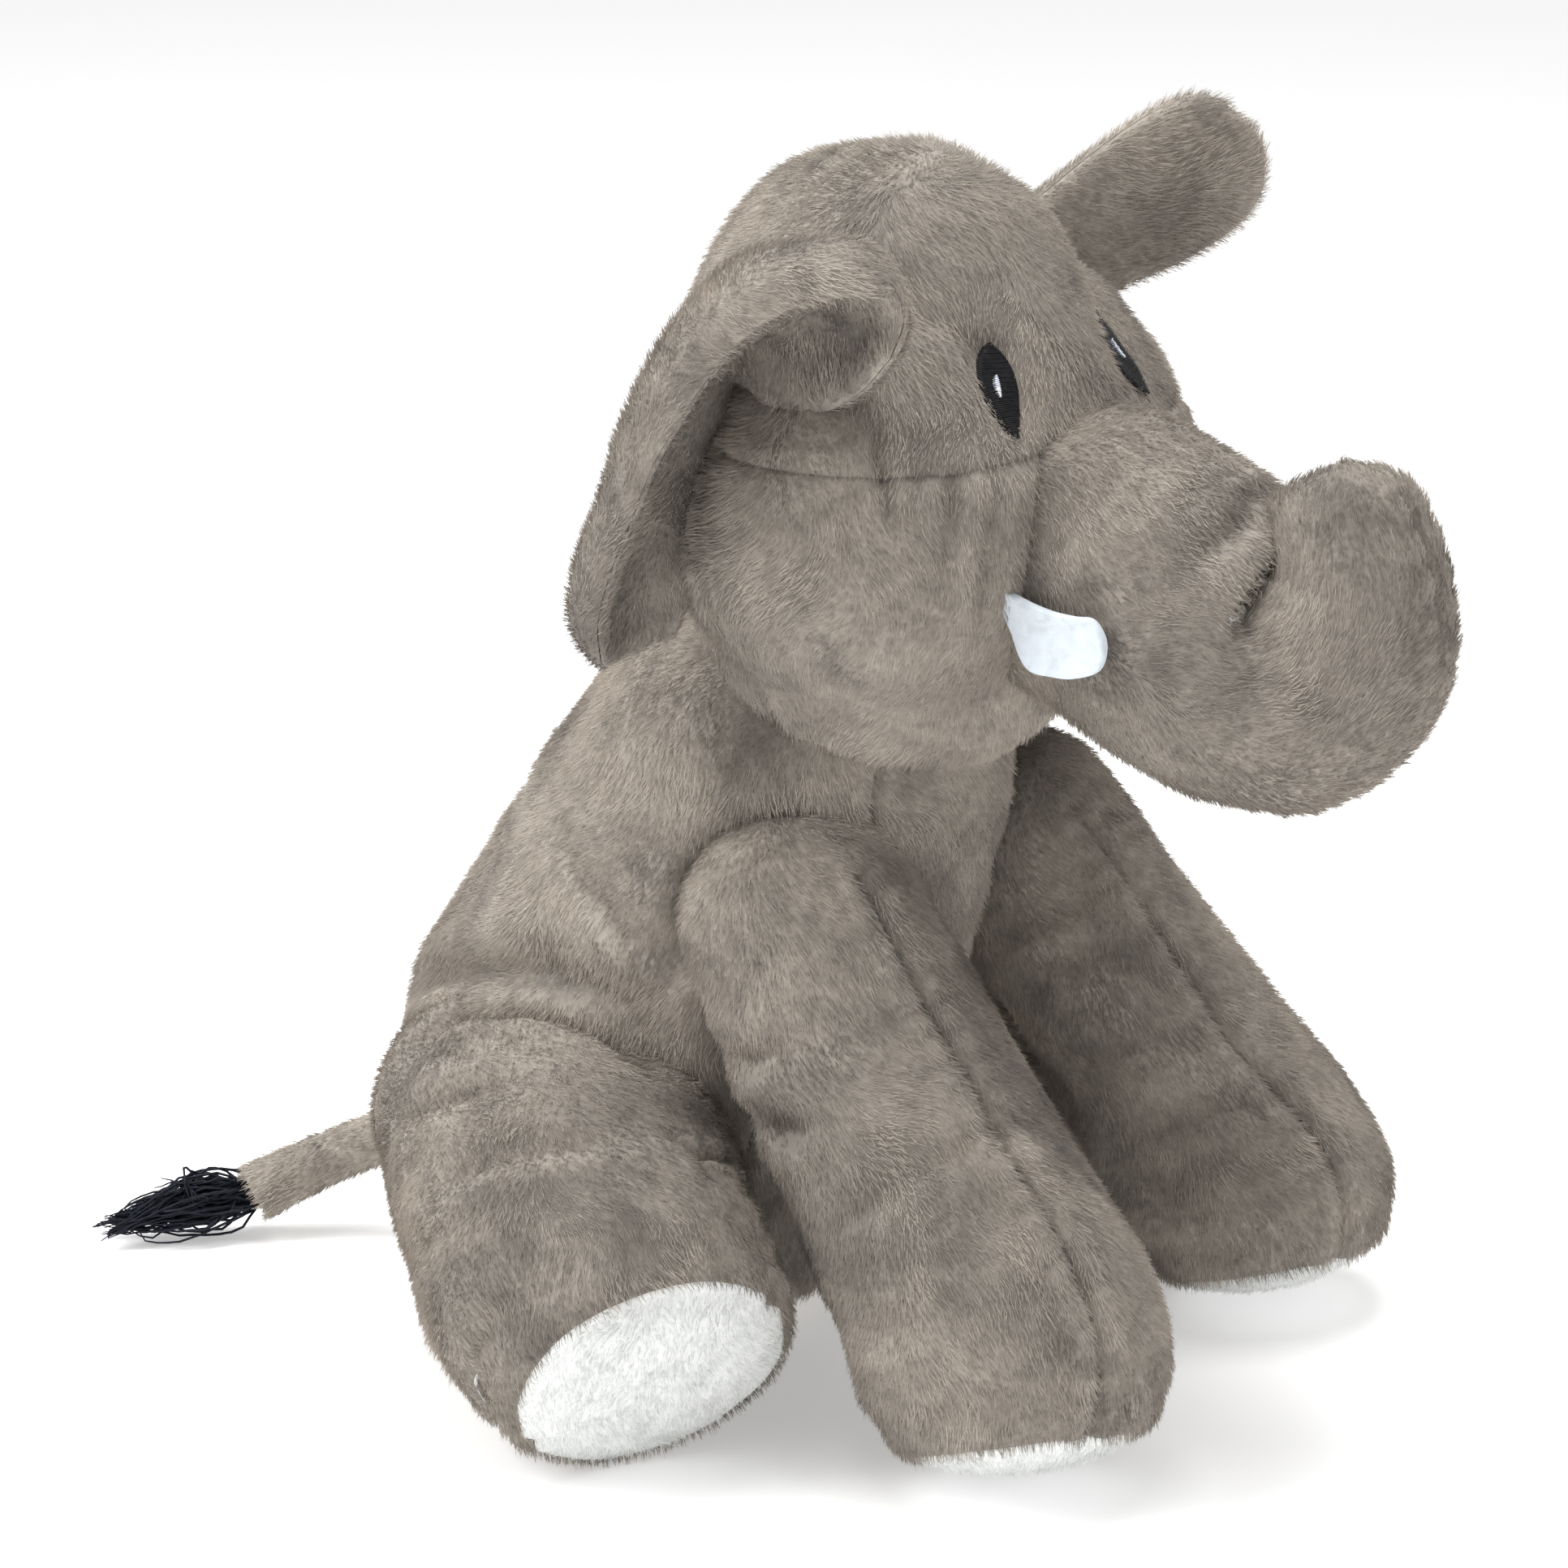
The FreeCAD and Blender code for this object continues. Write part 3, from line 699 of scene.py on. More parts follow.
@functools.lru_cache(maxsize=None)
def head_skin():
    """The grid of the head, from the chin up to the crown, with a dent for each eye."""
    points = swelled(stacked(HEAD_ROWS, BODY_ROWS, HEAD_COLS), HEAD_SWELLS, SWELL_SOFTNESS)
    skin = Skin(points, (0, 0.3, -1))
    skin.lumps(4, 1.0)
    brow = int(np.argmin(np.abs(points[:, 0, 2] - BROW_HEIGHT)))
    for col in HEAD_SEAMS[:2]:
        skin.seam(points[3:-3:6, col], deep=1.5, seed=col)
    skin.seam(points[3:brow:6, HEAD_SEAMS[2]], deep=1.4, seed=3)
    front = np.arange(HEAD_SEAMS[1], HEAD_COLS + HEAD_SEAMS[0] + 1, 5) % HEAD_COLS
    skin.seam(points[brow, front], deep=1.0, lip=0.35, seed=5)
    for line, deep, wide in (
            ([(-51, -102, 242), (-55, -106, 237), (-57, -109, 230), (-59, -111, 224)], 1.8, 1.8),
            ([(-48, -117, 235), (-51, -121, 225), (-55, -119, 215)], 2.0, 3.0),
            ([(-42, -125, 229), (-46, -127, 217), (-44, -127, 202), (-39, -126, 194)], 2.4, 3.4),
            ([(51, -102, 242), (55, -106, 237), (58, -109, 230), (59, -111, 222)], 1.6, 2.0),
            ([(46, -120, 232), (50, -120, 220), (50, -120, 206)], 2.0, 3.2)):
        skin.fold(line, deep, wide)
    for side in (-1, 1):
        far = np.linalg.norm((points - (side * EYE[0], EYE[1], EYE[2])) / (7.0, 9, 11.5), axis=-1)
        skin.pile *= np.clip((far - 0.84) / 0.22, 0, 1)
        skin.height *= 1 - 0.8 * np.exp(-(far / 1.2) ** 2)
        skin.height -= 1.8 * np.exp(-(far / 1.25) ** 2)
    skin.brow = brow
    skin.finish(6, 48)
    return skin


TRUNK_PATH = [(0, -108, 213, 31), (0, -122, 210, 34), (0, -139, 206, 34.5), (0, -161, 195, 34.5), (0, -179, 188.5, 32),
              (0, -192, 194, 27.5), (0, -197.5, 210, 21), (0, -195.5, 226, 15.5)]


@functools.lru_cache(maxsize=None)
def trunk_skin():
    """The grid of the trunk, from inside the head to its curled tip."""
    points, way = tube(TRUNK_PATH, (1, 0, 0), 120, LEG_COLS)
    points = domed(points, -way[0], 22, 12, True)
    points = domed(points, way[-1], 9, 10, False)
    skin = Skin(points, downward(way, 12, 10))
    skin.lumps(40, 0.8)
    for col, lip, seed in zip(LIMB_SEAMS, (1.6, 1.8), (4, 8)):
        skin.seam(points[14::5, col], deep=2.0, wide=1.5, lip=lip, seed=seed)
    for line, deep, wide in (
            ([(-22, -176, 222), (-6, -172, 222), (8, -172, 222), (22, -176, 222)], 1.6, 3.6),
            ([(-26, -170, 216), (-20, -176, 226), (-10, -182, 232)], 1.0, 3.0),
            ([(-31, -150, 212), (-33, -152, 198), (-31, -158, 184)], 1.2, 4.0)):
        skin.fold(line, deep, wide)
    skin.finish(44, 30)
    return skin


# each rib runs across an ear from the head or its upper rim to its outer or lower rim
RIGHT_EAR = [
    [(-60, -54, 190), (-65, -49, 188), (-73, -47, 186.5), (-80, -49, 187), (-86, -52, 190)],
    [(-57, -57, 200), (-64, -49, 199), (-75, -45, 199), (-86, -48, 199), (-91, -55, 200)],
    [(-55, -60, 212), (-64, -51, 211), (-76, -48, 210.5), (-87, -51, 211), (-92, -59, 212)],
    [(-54, -63, 224), (-64, -55, 224), (-77, -53, 224), (-88, -57, 224), (-92.5, -65, 224.5)],
    [(-52, -63, 238), (-64, -59, 241), (-77, -59.5, 243), (-89, -65, 241), (-93, -72, 239)],
    [(-50, -66, 250), (-62, -63, 255), (-76, -65.5, 257), (-88, -72, 254), (-92.5, -79, 250)],
    [(-56, -74, 250), (-60, -71, 263), (-74, -74.5, 270), (-87, -81, 266), (-91.5, -86, 260)],
    [(-61, -82, 247), (-60, -82, 265), (-72, -86.5, 280.5), (-86, -91, 277), (-90, -95, 270)],
    [(-63, -95, 248), (-60, -96, 266), (-71, -100, 284), (-84, -103, 283.5), (-88, -106, 277)],
    [(-67, -109, 255), (-64, -111, 269), (-73, -113, 285), (-83, -115, 285), (-86, -117, 280)],
    [(-73, -121, 265), (-71, -123, 273), (-76, -124, 281), (-81, -124, 283), (-83, -124, 280)],
]
LEFT_EAR = [
    [(58, -57, 204), (65, -56, 202), (72, -58, 201), (78, -62, 202), (82, -66, 204)],
    [(55, -57, 214), (65, -54, 212), (75, -56, 211), (83, -62, 212), (88, -70, 214)],
    [(54, -57, 228), (66, -53, 227), (78, -55, 227), (88, -62, 227), (94, -72, 228)],
    [(53, -58, 242), (66, -54, 244), (79, -57, 243), (90, -64, 241), (97, -74, 240)],
    [(54, -60, 258), (67, -58, 261), (79, -62, 258), (90, -69, 253), (97, -77, 248)],
    [(60, -62, 268), (71, -63, 268), (81, -67, 264), (91, -73, 258), (98, -80, 251)],
    [(73, -69, 275), (82, -71, 273), (91, -76, 267), (99, -81, 260), (104, -86, 254)],
    [(85, -76, 284), (93, -78, 281), (100, -82, 274), (107, -87, 266), (112, -92, 258)],
    [(97, -83, 292), (104, -85, 288), (110, -89, 281), (116, -94, 273), (121, -98, 264)],
    [(108, -90, 297), (114, -92, 293), (119, -96, 287), (123, -99, 280), (126, -102, 272)],
    [(117, -96, 296), (120, -97, 293), (123, -99, 290), (125, -101, 287), (127, -102, 283)],
]


EAR_ROWS, EAR_COLS, EAR_PUFF = 130, 56, 4.6


def ear_layers(ribs, seed):
    """Two padded layers either side of the middle surface through the ribs."""
    across = np.array([curve(rib, EAR_COLS) for rib in ribs])
    grid = np.stack([curve(across[:, j], EAR_ROWS) for j in range(EAR_COLS)], 1)
    n = normals(grid, False)
    u = np.linspace(0, 1, EAR_COLS)[None]
    s = np.linspace(0, 1, EAR_ROWS)[:, None]
    full = np.clip(4 * u * (1 - u), 0, 1) ** 0.42 * np.clip(4 * s * (1 - s) * 2.2, 0, 1) ** 0.4
    made = []
    for sign in (1, -1):
        outer = grid + n * (sign * (0.35 + EAR_PUFF * full))[..., None]
        inner = grid + n * (sign * 0.15)
        if sign < 0:
            outer, inner = outer[:, ::-1], inner[:, ::-1]
        flow = np.gradient(grid, axis=1) * 0.8 + np.gradient(grid, axis=0) * 0.9
        flow = flow if sign > 0 else flow[:, ::-1]
        skin = Skin(outer, flow, False)
        skin.lumps(seed, 0.55)
        rim = np.minimum(np.minimum(u, 1 - u) * 45, np.minimum(s, 1 - s) * 110)
        skin.height *= np.clip(rim / 5, 0, 1)
        skin.finish(seed + 2, 34)
        skin.inner = inner
        made.append(skin)
    return made


# ---- What a user can change ----
def colour(name, description, default):
    return bpy.props.FloatVectorProperty(name=name, description=description, default=default, subtype="COLOR", size=3, min=0, max=1)


def length(name, description, default, **more):
    return bpy.props.FloatProperty(name=name, description=description, default=default, unit="LENGTH", subtype="DISTANCE",
                                   precision=5, **more)


class ElephantPlush(bpy.types.PropertyGroup):
    """The plush of the skins and soles."""
    # around this grey the plush is painted lighter and darker in patches, as painted sheen where the pile was stroked
    grey: colour("Plush", "Colour of the grey plush where it isn't stroked", (0.385, 0.342, 0.296))
    sole: colour("Sole", "Colour of the soles", (0.80, 0.81, 0.80))
    thick: length("Skin", "Thickness of the plush with its pile lying flat", 0.0016, min=0.0005, max=0.003)
    pile: length("Pile", "Length of the pile of the skins", 0.0028, min=0.001, max=0.006)
    strand: length("Strand", "Radius of one strand of pile", 0.00009, min=0.00002, max=0.0003)
    strands: bpy.props.FloatProperty(name="Strands", description="Strands in a square metre of plush", default=1.7e6, min=1e5, max=5e6)


class ElephantTrim(bpy.types.PropertyGroup):
    """The felt, thread and yarn."""
    felt: colour("Felt", "Colour of the tusks", (0.70, 0.76, 0.82))
    eye: colour("Eye thread", "Colour of the stitched eyes", (0.010, 0.010, 0.012))
    glint: colour("Glint thread", "Colour of the stitches in the eyes", (0.80, 0.85, 0.95))
    yarn: colour("Yarn", "Colour of the tassel", (0.008, 0.010, 0.018))
    stitch: length("Stitch", "Distance between the threads of the eyes", 0.00042, min=0.0002, max=0.001)
    yarn_radius: length("Yarn radius", "Radius of one strand of the tassel", 0.00034, min=0.0001, max=0.001)


def plush_thickness():
    """Thickness of the skins in millimetres."""
    return bpy.context.scene.elephant_plush.thick / MM


def pile_on(obj, longer=1.0, soles=False):
    s = bpy.context.scene.elephant_plush
    grow_pile(obj, white(True) if soles else plush(True), Density=s.strands, Length=s.pile * longer, Thickness=s.strand)


# ---- One operator for each piece or group of like pieces ----
class ELEPHANT_OT_torso(bpy.types.Operator):
    """Sews the torso's side, belly and seat panels"""
    bl_idname = "elephant.torso"
    bl_label = "Torso panels"

    def execute(self, context):
        skin = torso_skin()
        thick = plush_thickness()
        back, left, right = TORSO_SEAMS
        for node, cols in (("torso_right_panel", (back, left)), ("belly_panel", (left, right)),
                           ("torso_left_panel", (right, TORSO_COLS + back))):
            obj = panel("skin." + node, skin, (0, BODY_ROWS - 1), cols, thick, plush(False))
            sewn(obj, node, "torso")
            pile_on(obj)
        grid = disc(skin.points[0], np.array([0, 0, -1.0]), SEAT_BULGE, 16)
        grid[..., 2] = np.maximum(grid[..., 2], 1.0)
        wrapped = closed_round(grid)[::-1]
        inner = wrapped + (0, 0, thick)
        obj = layer("skin.seat_panel", wrapped, inner, np.zeros(wrapped.shape[:2]), np.zeros(wrapped.shape), plush(False))
        sewn(obj, "seat_panel", "torso")
        return {"FINISHED"}


class ELEPHANT_OT_head(bpy.types.Operator):
    """Sews the head's back, forehead and cheek panels"""
    bl_idname = "elephant.head"
    bl_label = "Head panels"

    def execute(self, context):
        skin = head_skin()
        thick = plush_thickness()
        left_ear, right_ear, chin = HEAD_SEAMS
        for node, rows, cols in (
                ("head_back_panel", (0, BODY_ROWS - 1), (left_ear, right_ear)),
                ("forehead_panel", (skin.brow, BODY_ROWS - 1), (right_ear, HEAD_COLS + left_ear)),
                ("right_cheek_panel", (0, skin.brow), (right_ear, chin)),
                ("left_cheek_panel", (0, skin.brow), (chin, HEAD_COLS + left_ear))):
            obj = panel("skin." + node, skin, rows, cols, thick, plush(False))
            sewn(obj, node, "head")
            pile_on(obj)
        return {"FINISHED"}


class ELEPHANT_OT_legs(bpy.types.Operator):
    """Sews the two side panels and the white sole of each leg"""
    bl_idname = "elephant.legs"
    bl_label = "Legs"

    def execute(self, context):
        thick = plush_thickness()
        front, back = LIMB_SEAMS
        for index, name in enumerate(LEGS):
            skin = leg_skin(name, index)
            last = skin.points.shape[0] - 1
            for node, cols in ((name + "_outer_panel", (back, LEG_COLS + front)), (name + "_inner_panel", (front, back))):
                obj = panel("skin." + node, skin, (0, last), cols, thick, plush(False))
                sewn(obj, node, name)
                pile_on(obj)
            grid = disc(skin.points[-1], skin.normal, skin.bulge, 40)
            wrapped = closed_round(grid)
            sole = Skin(wrapped, (0, 0, -1), False)
            sole.normals = np.where((sole.normals @ skin.normal)[..., None] < 0, -sole.normals, sole.normals)
            edge = np.linspace(0, 1, 41)[:, None]
            sole.height += 0.6 * wander(wrapped, 16, 5 + index) * np.clip(edge * 5, 0, 1)
            sole.pile *= np.clip(0.25 + edge * 8, 0, 1)
            sole.finish(60 + index, 70)
            outer = sole.points
            settle(outer)
            flat = unit(np.broadcast_to(skin.normal, outer.shape))
            obj = layer("sole." + name, outer, outer - flat * thick, sole.pile, sole.comb, white(False))
            sewn(obj, name + "_sole", name)
            pile_on(obj, 0.62, True)
        return {"FINISHED"}


class ELEPHANT_OT_trunk(bpy.types.Operator):
    """Sews the two panels of the curled trunk"""
    bl_idname = "elephant.trunk"
    bl_label = "Trunk panels"

    def execute(self, context):
        skin = trunk_skin()
        thick = plush_thickness()
        last = skin.points.shape[0] - 1
        above, below = LIMB_SEAMS
        for node, cols in (("trunk_left_panel", (below, LEG_COLS + above)), ("trunk_right_panel", (above, below))):
            obj = panel("skin." + node, skin, (0, last), cols, thick, plush(False))
            sewn(obj, node, "trunk")
            pile_on(obj)
        return {"FINISHED"}


class ELEPHANT_OT_ears(bpy.types.Operator):
    """Sews the two layers of each floppy ear"""
    bl_idname = "elephant.ears"
    bl_label = "Ears"

    def execute(self, context):
        for name, ribs, seed in (("right_ear", RIGHT_EAR, 70), ("left_ear", LEFT_EAR, 80)):
            front, back = ear_layers(ribs, seed)
            for node, skin in ((name + "_inner_panel", front), (name + "_outer_panel", back)):
                obj = layer("skin." + node, skin.points, skin.inner, skin.pile, skin.comb, plush(False))
                sewn(obj, node, name)
                pile_on(obj, 1.1)
        return {"FINISHED"}


class ELEPHANT_OT_eyes(bpy.types.Operator):
    """Stitches the black eyes and their white glints in satin stitch"""
    bl_idname = "elephant.eyes"
    bl_label = "Eyes"

    def execute(self, context):
        trim = context.scene.elephant_trim
        skin = head_skin()
        points = closed_round(skin.points)
        tree = BVHTree.FromPolygons(points.reshape(-1, 3).tolist(), grid_faces(*points.shape[:2]).tolist())
        pitch = trim.stitch / MM
        for side, name in ((-1, "right"), (1, "left")):
            middle = np.array([side * EYE[0], EYE[1], EYE[2]])
            look = unit((side * 0.42, -1, 0.15))
            right = unit(np.cross(look, (0, 0, 1)))
            up = np.cross(right, look)

            def stitched(part, tall, wide, lean, low, node, material, thread_radius, shift):
                points, faces = [], []
                count = int(tall / pitch)
                for k in range(count):
                    v = -1 + 2 * (k + 0.5) / count
                    half = wide / 2 * (1 - abs(v) ** (1.75 if v < 0 else 2.3)) ** 0.72
                    if half < 0.25:
                        continue
                    steps = max(6, int(half * 2 / 0.7))
                    row = []
                    for i in range(steps + 1):
                        q = -1 + 2 * i / steps
                        spot = middle + right * (q * half + shift[0] + side * 0.8 * v) + up * (v * tall / 2 + shift[1] + lean * q * half)
                        hit = tree.ray_cast((spot + look * 30).tolist(), (-look).tolist())
                        if hit[0] is None:
                            raise RuntimeError("an eye's thread misses the head")
                        n = np.array(hit[1])
                        n = n if n @ look > 0 else -n
                        rise = low + 0.5 * (1 - abs(q) ** 4) + 0.06 * math.sin(k * 2.4)
                        row.append((np.array(hit[0]) + n * (rise if abs(q) < 1 else -0.6), n))
                    spots, up_ways = [spot for spot, n in row], [n for spot, n in row]
                    overs = [np.cross(n, unit(spots[min(i + 1, steps)] - spots[max(i - 1, 0)])) for i, n in enumerate(up_ways)]
                    rope(points, faces, spots, overs, up_ways, [thread_radius] * (steps + 1), 6)
                mesh = bpy.data.meshes.new(part)
                mesh.from_pydata((np.array(points) * MM).tolist(), [], faces)
                mesh.validate()
                obj = new_object(part, mesh, material)
                sewn(obj, node, "head")

            black = thread_material("Black thread", tuple(trim.eye), 0.42)
            pale = thread_material("White thread", tuple(trim.glint), 0.5)
            stitched("eye." + name, 21.5, 12.0, side * -0.05, 0.75, name + "_eye_embroidery", black, pitch * 0.62, (0, 0))
            stitched("glint." + name, 5.4, 2.6, 0.3, 1.5, name + "_eye_glint", pale, pitch * 0.6, (side * -0.6 + 0.6, 0.6))
        return {"FINISHED"}


class ELEPHANT_OT_tusks(bpy.types.Operator):
    """Cuts the two felt tusks"""
    bl_idname = "elephant.tusks"
    bl_label = "Tusks"

    def execute(self, context):
        # the outline in the side view: y and z
        outline = np.array([(-129.3, 208.4), (-136, 205.9), (-142.5, 204.6), (-148.5, 204.4), (-154, 204.5), (-157.2, 199.6),
                            (-155.7, 193.2), (-149, 190.3), (-143, 189.8), (-137.4, 190.2), (-133.8, 193.4), (-131.6, 197.9),
                            (-129.2, 203.2)])
        loop = curve(np.vstack([outline, outline[:1]]), 121)[:-1]
        middle = np.array([-143.5, 198.0])
        rings = [(1.0, 0.0), (0.995, 0.45), (0.975, 0.8), (0.94, 0.97), (0.85, 1.0), (0.6, 1.0), (0.35, 1.0), (0.02, 1.0)]
        for side, name in ((-1, "right_tusk"), (1, "left_tusk")):
            rows = []
            for face in (-1, 1):
                order = rings[::-1] if face < 0 else rings[1:]
                for scale, rise in order:
                    flat = middle + (loop - middle) * scale
                    along, down = np.clip((-129 - flat[:, 0]) / 28, 0, 1), (198 - flat[:, 1]) / 18
                    out = 39.6 + face * 1.5 * rise + 2.4 * along ** 1.6 - 1.6 * np.cos(down * 2.6)
                    soft = 0.25 * wander(np.stack([flat[:, 0], flat[:, 1], np.full(len(flat), side * 3.0)], -1), 6, 7)
                    rows.append(np.stack([side * (out + soft), flat[:, 0], flat[:, 1]], -1))
            obj = closed_form("felt." + name, np.array(rows), felt_material())
            work = bmesh.new()
            work.from_mesh(obj.data)
            bmesh.ops.recalc_face_normals(work, faces=work.faces)
            work.to_mesh(obj.data)
            work.free()
            sewn(obj, name, "head")
        return {"FINISHED"}


YARNS, YARN_ROWS = 210, 15


class ELEPHANT_OT_tail(bpy.types.Operator):
    """Sews the tail's tube and ties the yarn tassel to its end"""
    bl_idname = "elephant.tail"
    bl_label = "Tail and tassel"

    def execute(self, context):
        path = [(0, 40, 35, 7.5), (-3, 62, 31, 7), (-10, 80, 25, 6.8), (-21, 95, 17, 6.8), (-28, 102.5, 12, 7.2)]
        points, way = tube(path, (1, 0, 0), 70, 60)
        tucked = points[-1].mean(0)
        ends = [tucked + (points[-1] - tucked) * s + way[-1] * d
                for s, d in ((0.97, 0.5), (0.86, 0.7), (0.7, 0.2), (0.6, -2.0), (0.02, -3.0))]
        points = np.vstack([points, np.array(ends)])
        points = domed(points, -way[0], 4, 6, True)
        skin = Skin(points, downward(way, 6, 5))
        skin.lumps(90, 0.35)
        skin.seam(points[8:-5:5, 45], deep=1.2, wide=1.0, lip=0.5, seed=2)
        skin.finish(91, 26)
        skin.pile[-3:] = 0
        shape = closed_round(skin.points)
        mesh = bpy.data.meshes.new("skin.tail_tube")
        mesh.from_pydata((shape.reshape(-1, 3) * MM).tolist(), [], grid_faces(*shape.shape[:2]).tolist())
        write_pile(mesh, closed_round(skin.pile), closed_round(skin.comb))
        tidy_mesh(mesh)
        obj = new_object("skin.tail_tube", mesh, plush(False))
        sewn(obj, "tail_tube", "tail")
        pile_on(obj, 0.8)

        rng = np.random.default_rng(11)
        radius = context.scene.elephant_trim.yarn_radius / MM
        start, knot = np.array([-27.0, 102, 12.3]), np.array([-36.5, 112, 10.5])
        tips = [(-56, 131, 7), (-60, 128, 4.5), (-54, 136, 3.5), (-49, 122, 9), (-46, 116, 17)]
        heads = [0, 0, 0, 1, 1, 1, 2, 2, 3, 4]
        points, faces = [], []
        for k in range(YARNS):
            tip = np.array(tips[heads[k % 10]], float)
            loose = rng.normal(size=3)
            puff = rng.normal(size=3) * (3.4, 3.4, 3.0)
            ride = [start + rng.normal(size=3) * 1.8, knot + puff, knot * 0.45 + tip * 0.55 + puff * 0.42 + rng.normal(size=3) * 1.1,
                    tip + loose * 1.2 * (0.5 + 1.6 * (heads[k % 10] == 4)) + (tip - knot) * rng.uniform(-0.28, 0.02)]
            line = curve(np.array(ride), YARN_ROWS)
            line[1:] += np.stack([wander(line[1:] + 9 * k, 3.2, 60 + a) for a in range(3)], -1) * 0.75
            line[:, 2] = np.maximum(line[:, 2], radius + 0.3)
            ahead = unit(np.gradient(line, axis=0))
            over = unit(np.cross(ahead, (0.3, 0.2, 1.0)))
            under = np.cross(ahead, over)
            sizes = [radius * (1.15 - 0.75 * (i / (YARN_ROWS - 1)) ** 3) for i in range(YARN_ROWS)]
            rope(points, faces, line, over, under, sizes, 5, 0.5)
        mesh = bpy.data.meshes.new("yarn.tassel")
        mesh.from_pydata((np.array(points) * MM).tolist(), [], faces)
        obj = new_object("yarn.tassel", mesh, thread_material("Black yarn", tuple(context.scene.elephant_trim.yarn), 0.6))
        sewn(obj, "tail_tassel", "tassel")
        return {"FINISHED"}


class ELEPHANT_OT_filling(bpy.types.Operator):
    """Packs loose fibre into the torso, neck, head, legs and trunk"""
    bl_idname = "elephant.filling"
    bl_label = "Filling"

    def execute(self, context):
        thick = plush_thickness()
        torso, head, trunk = torso_skin(), head_skin(), trunk_skin()

        def inside(skin, row_step, col_step):
            grid = skin.points - skin.normals * (thick + 1.1)
            return np.vstack([grid[:-1:row_step, ::col_step], grid[-1:, ::col_step]])

        forms = [("torso_stuffing", "torso", inside(torso, 2, 3)), ("head_stuffing", "head", inside(head, 2, 3)),
                 ("trunk_stuffing", "trunk", inside(trunk, 2, 2))]
        for index, name in enumerate(LEGS):
            skin = leg_skin(name, index)
            grid = inside(skin, 2, 2)
            end = disc(grid[-1], skin.normal, skin.bulge - 1, 8)[1:] - skin.normal * (thick + 1.4)
            forms.append((name + "_stuffing", name, np.vstack([grid[:-2], end])))
        turn = np.linspace(0.01, math.pi - 0.01, 40)
        ball = np.stack([156 - 38 * np.cos(turn), np.full(40, -49.0), 38 * np.sin(turn), 38 * np.sin(turn)], 1)
        forms.append(("neck_stuffing", "neck", stacked(ball, 40, 80)))
        for seed, (node, body, grid) in enumerate(forms):
            skin = Skin(grid, (0, 0, -1))
            skin.height = -0.8 + 0.5 * wander(grid, 7, 100 + seed) + 0.3 * wander(grid, 3.2, 101 + seed)
            if body == "neck":
                skin.height -= 2.0
            skin.finish(100 + seed)
            skin.points[..., 2] = np.maximum(skin.points[..., 2], 2.8)
            obj = closed_form("filling." + body, skin.points, filling_material())
            sewn(obj, node, body)
        return {"FINISHED"}


PAPER, PAPER_GLOW = (0.93, 0.93, 0.93, 1), 0.34
ROOM_LIGHT = 0.5
# name, place in metres, watts and width
LAMPS = (("key", (-1.2, 0.9, 1.3), 24.0, 1.0), ("fill", (-0.5, -1.9, 0.9), 4.0, 1.4), ("top", (0.1, 0.0, 1.8), 24.0, 0.9))
LAMP_TARGET = (0, -0.05, 0.13)
CAMERA_PLACE, CAMERA_LENS = (-0.9865, -0.7093, 0.4807), 117.0
CAMERA_DOWN, CAMERA_TURN = 16, -56


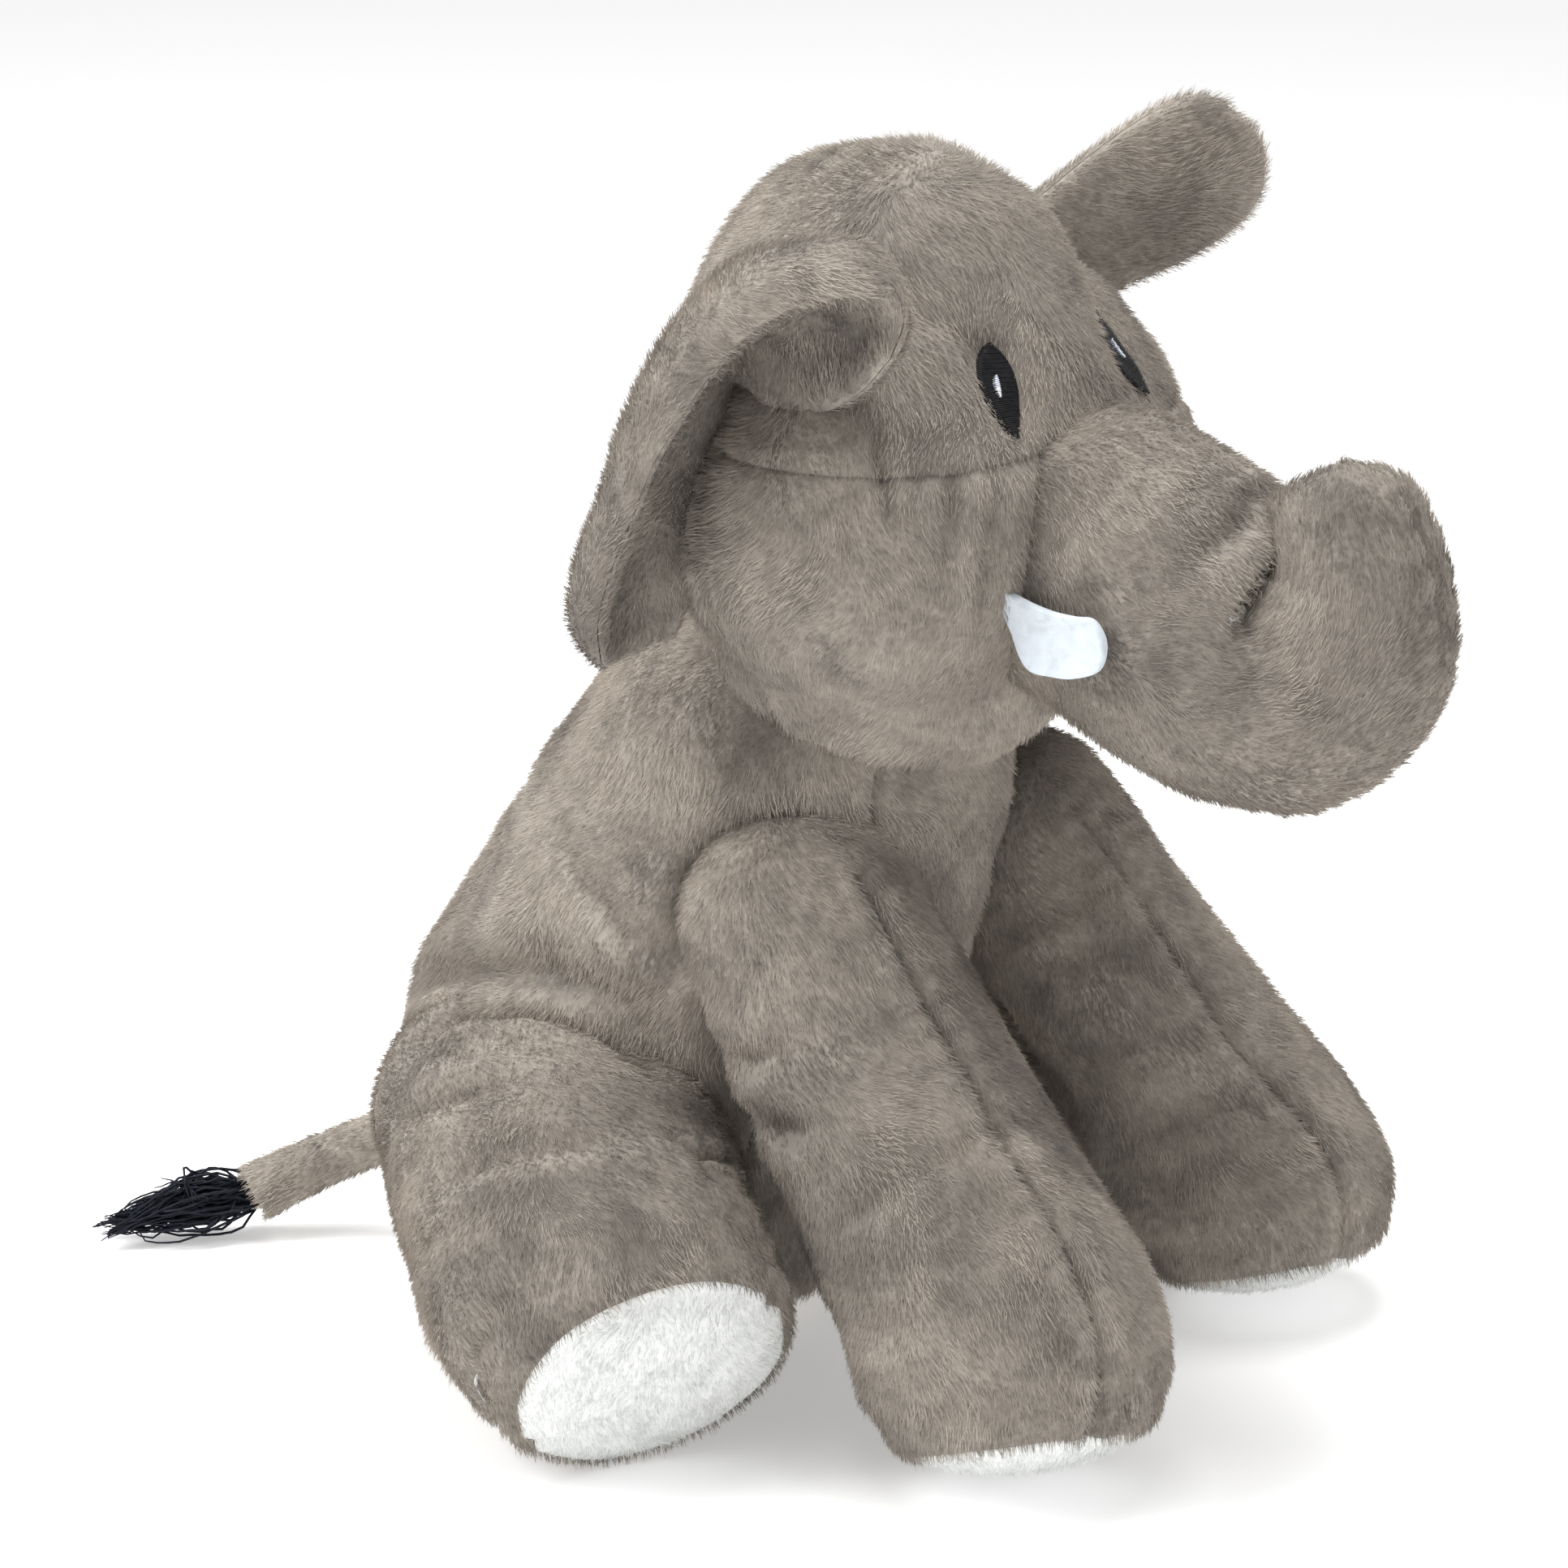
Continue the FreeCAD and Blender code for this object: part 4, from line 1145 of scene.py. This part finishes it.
class ELEPHANT_OT_studio(bpy.types.Operator):
    """Sets up the pale floor, the soft lights and the camera"""
    bl_idname = "elephant.studio"
    bl_label = "Studio"

    def execute(self, context):
        scene = context.scene
        mesh = bpy.data.meshes.new("floor")
        mesh.from_pydata([(-6, -6, 0), (6, -6, 0), (6, 6, 0), (-6, 6, 0)], [], [(0, 1, 2, 3)])
        paper = bpy.data.materials.new("Pale paper")
        paper.use_nodes = True
        for socket, value in (("Base Color", PAPER), ("Roughness", 0.9), ("Emission Color", (1, 1, 1, 1)),
                              ("Emission Strength", PAPER_GLOW)):
            paper.node_tree.nodes["Principled BSDF"].inputs[socket].default_value = value
        floor = new_object("floor", mesh, paper)
        world = bpy.data.worlds.new("Soft room")
        world.use_nodes = True
        world.node_tree.nodes["Background"].inputs[0].default_value = (1.0, 1.0, 1.0, 1)
        room = world.node_tree.nodes.new("ShaderNodeLightPath")
        level = world.node_tree.nodes.new("ShaderNodeMapRange")
        level.inputs["To Min"].default_value, level.inputs["To Max"].default_value = ROOM_LIGHT, 1.0
        world.node_tree.links.new(room.outputs["Is Camera Ray"], level.inputs["Value"])
        world.node_tree.links.new(level.outputs[0], world.node_tree.nodes["Background"].inputs["Strength"])
        scene.world = world
        for name, place, power, size in LAMPS:
            lamp = bpy.data.lights.new(name, "AREA")
            lamp.energy, lamp.size = power, size
            obj = bpy.data.objects.new(name, lamp)
            obj.location = place
            way = np.array(LAMP_TARGET) - np.array(place)
            obj.rotation_euler = (math.acos(-way[2] / np.linalg.norm(way)), 0, math.atan2(way[1], way[0]) - math.pi / 2)
            scene.collection.objects.link(obj)
        camera = bpy.data.objects.new("camera", bpy.data.cameras.new("camera"))
        camera.data.lens = CAMERA_LENS
        camera.location = CAMERA_PLACE
        camera.rotation_euler = (math.radians(90 - CAMERA_DOWN), 0, math.radians(CAMERA_TURN))
        scene.collection.objects.link(camera)
        scene.camera = camera
        scene.view_settings.view_transform = "Standard"
        return {"FINISHED"}


class ELEPHANT_PT_panel(bpy.types.Panel):
    """Lists the pieces and the sizes and colours that can be changed"""
    bl_idname = "ELEPHANT_PT_panel"
    bl_label = "Stuffed elephant"
    bl_space_type = "VIEW_3D"
    bl_region_type = "UI"
    bl_category = "Elephant"

    def draw(self, context):
        for settings in (context.scene.elephant_plush, context.scene.elephant_trim):
            box = self.layout.box()
            for name in type(settings).__annotations__:
                box.prop(settings, name)
        for operator in OPERATORS:
            self.layout.operator(operator.bl_idname)


OPERATORS = (ELEPHANT_OT_torso, ELEPHANT_OT_head, ELEPHANT_OT_legs, ELEPHANT_OT_trunk, ELEPHANT_OT_ears, ELEPHANT_OT_eyes,
             ELEPHANT_OT_tusks, ELEPHANT_OT_tail, ELEPHANT_OT_filling, ELEPHANT_OT_studio)
CLASSES = (ElephantPlush, ElephantTrim, *OPERATORS, ELEPHANT_PT_panel)


def register():
    for item in CLASSES:
        bpy.utils.register_class(item)
    bpy.types.Scene.elephant_plush = bpy.props.PointerProperty(type=ElephantPlush)
    bpy.types.Scene.elephant_trim = bpy.props.PointerProperty(type=ElephantTrim)


def unregister():
    del bpy.types.Scene.elephant_trim, bpy.types.Scene.elephant_plush
    for item in reversed(CLASSES):
        bpy.utils.unregister_class(item)


def main():
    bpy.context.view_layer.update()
    register()
    for operator in OPERATORS:
        group, name = operator.bl_idname.split(".")
        getattr(getattr(bpy.ops, group), name)()


if __name__ == "__main__":
    main()
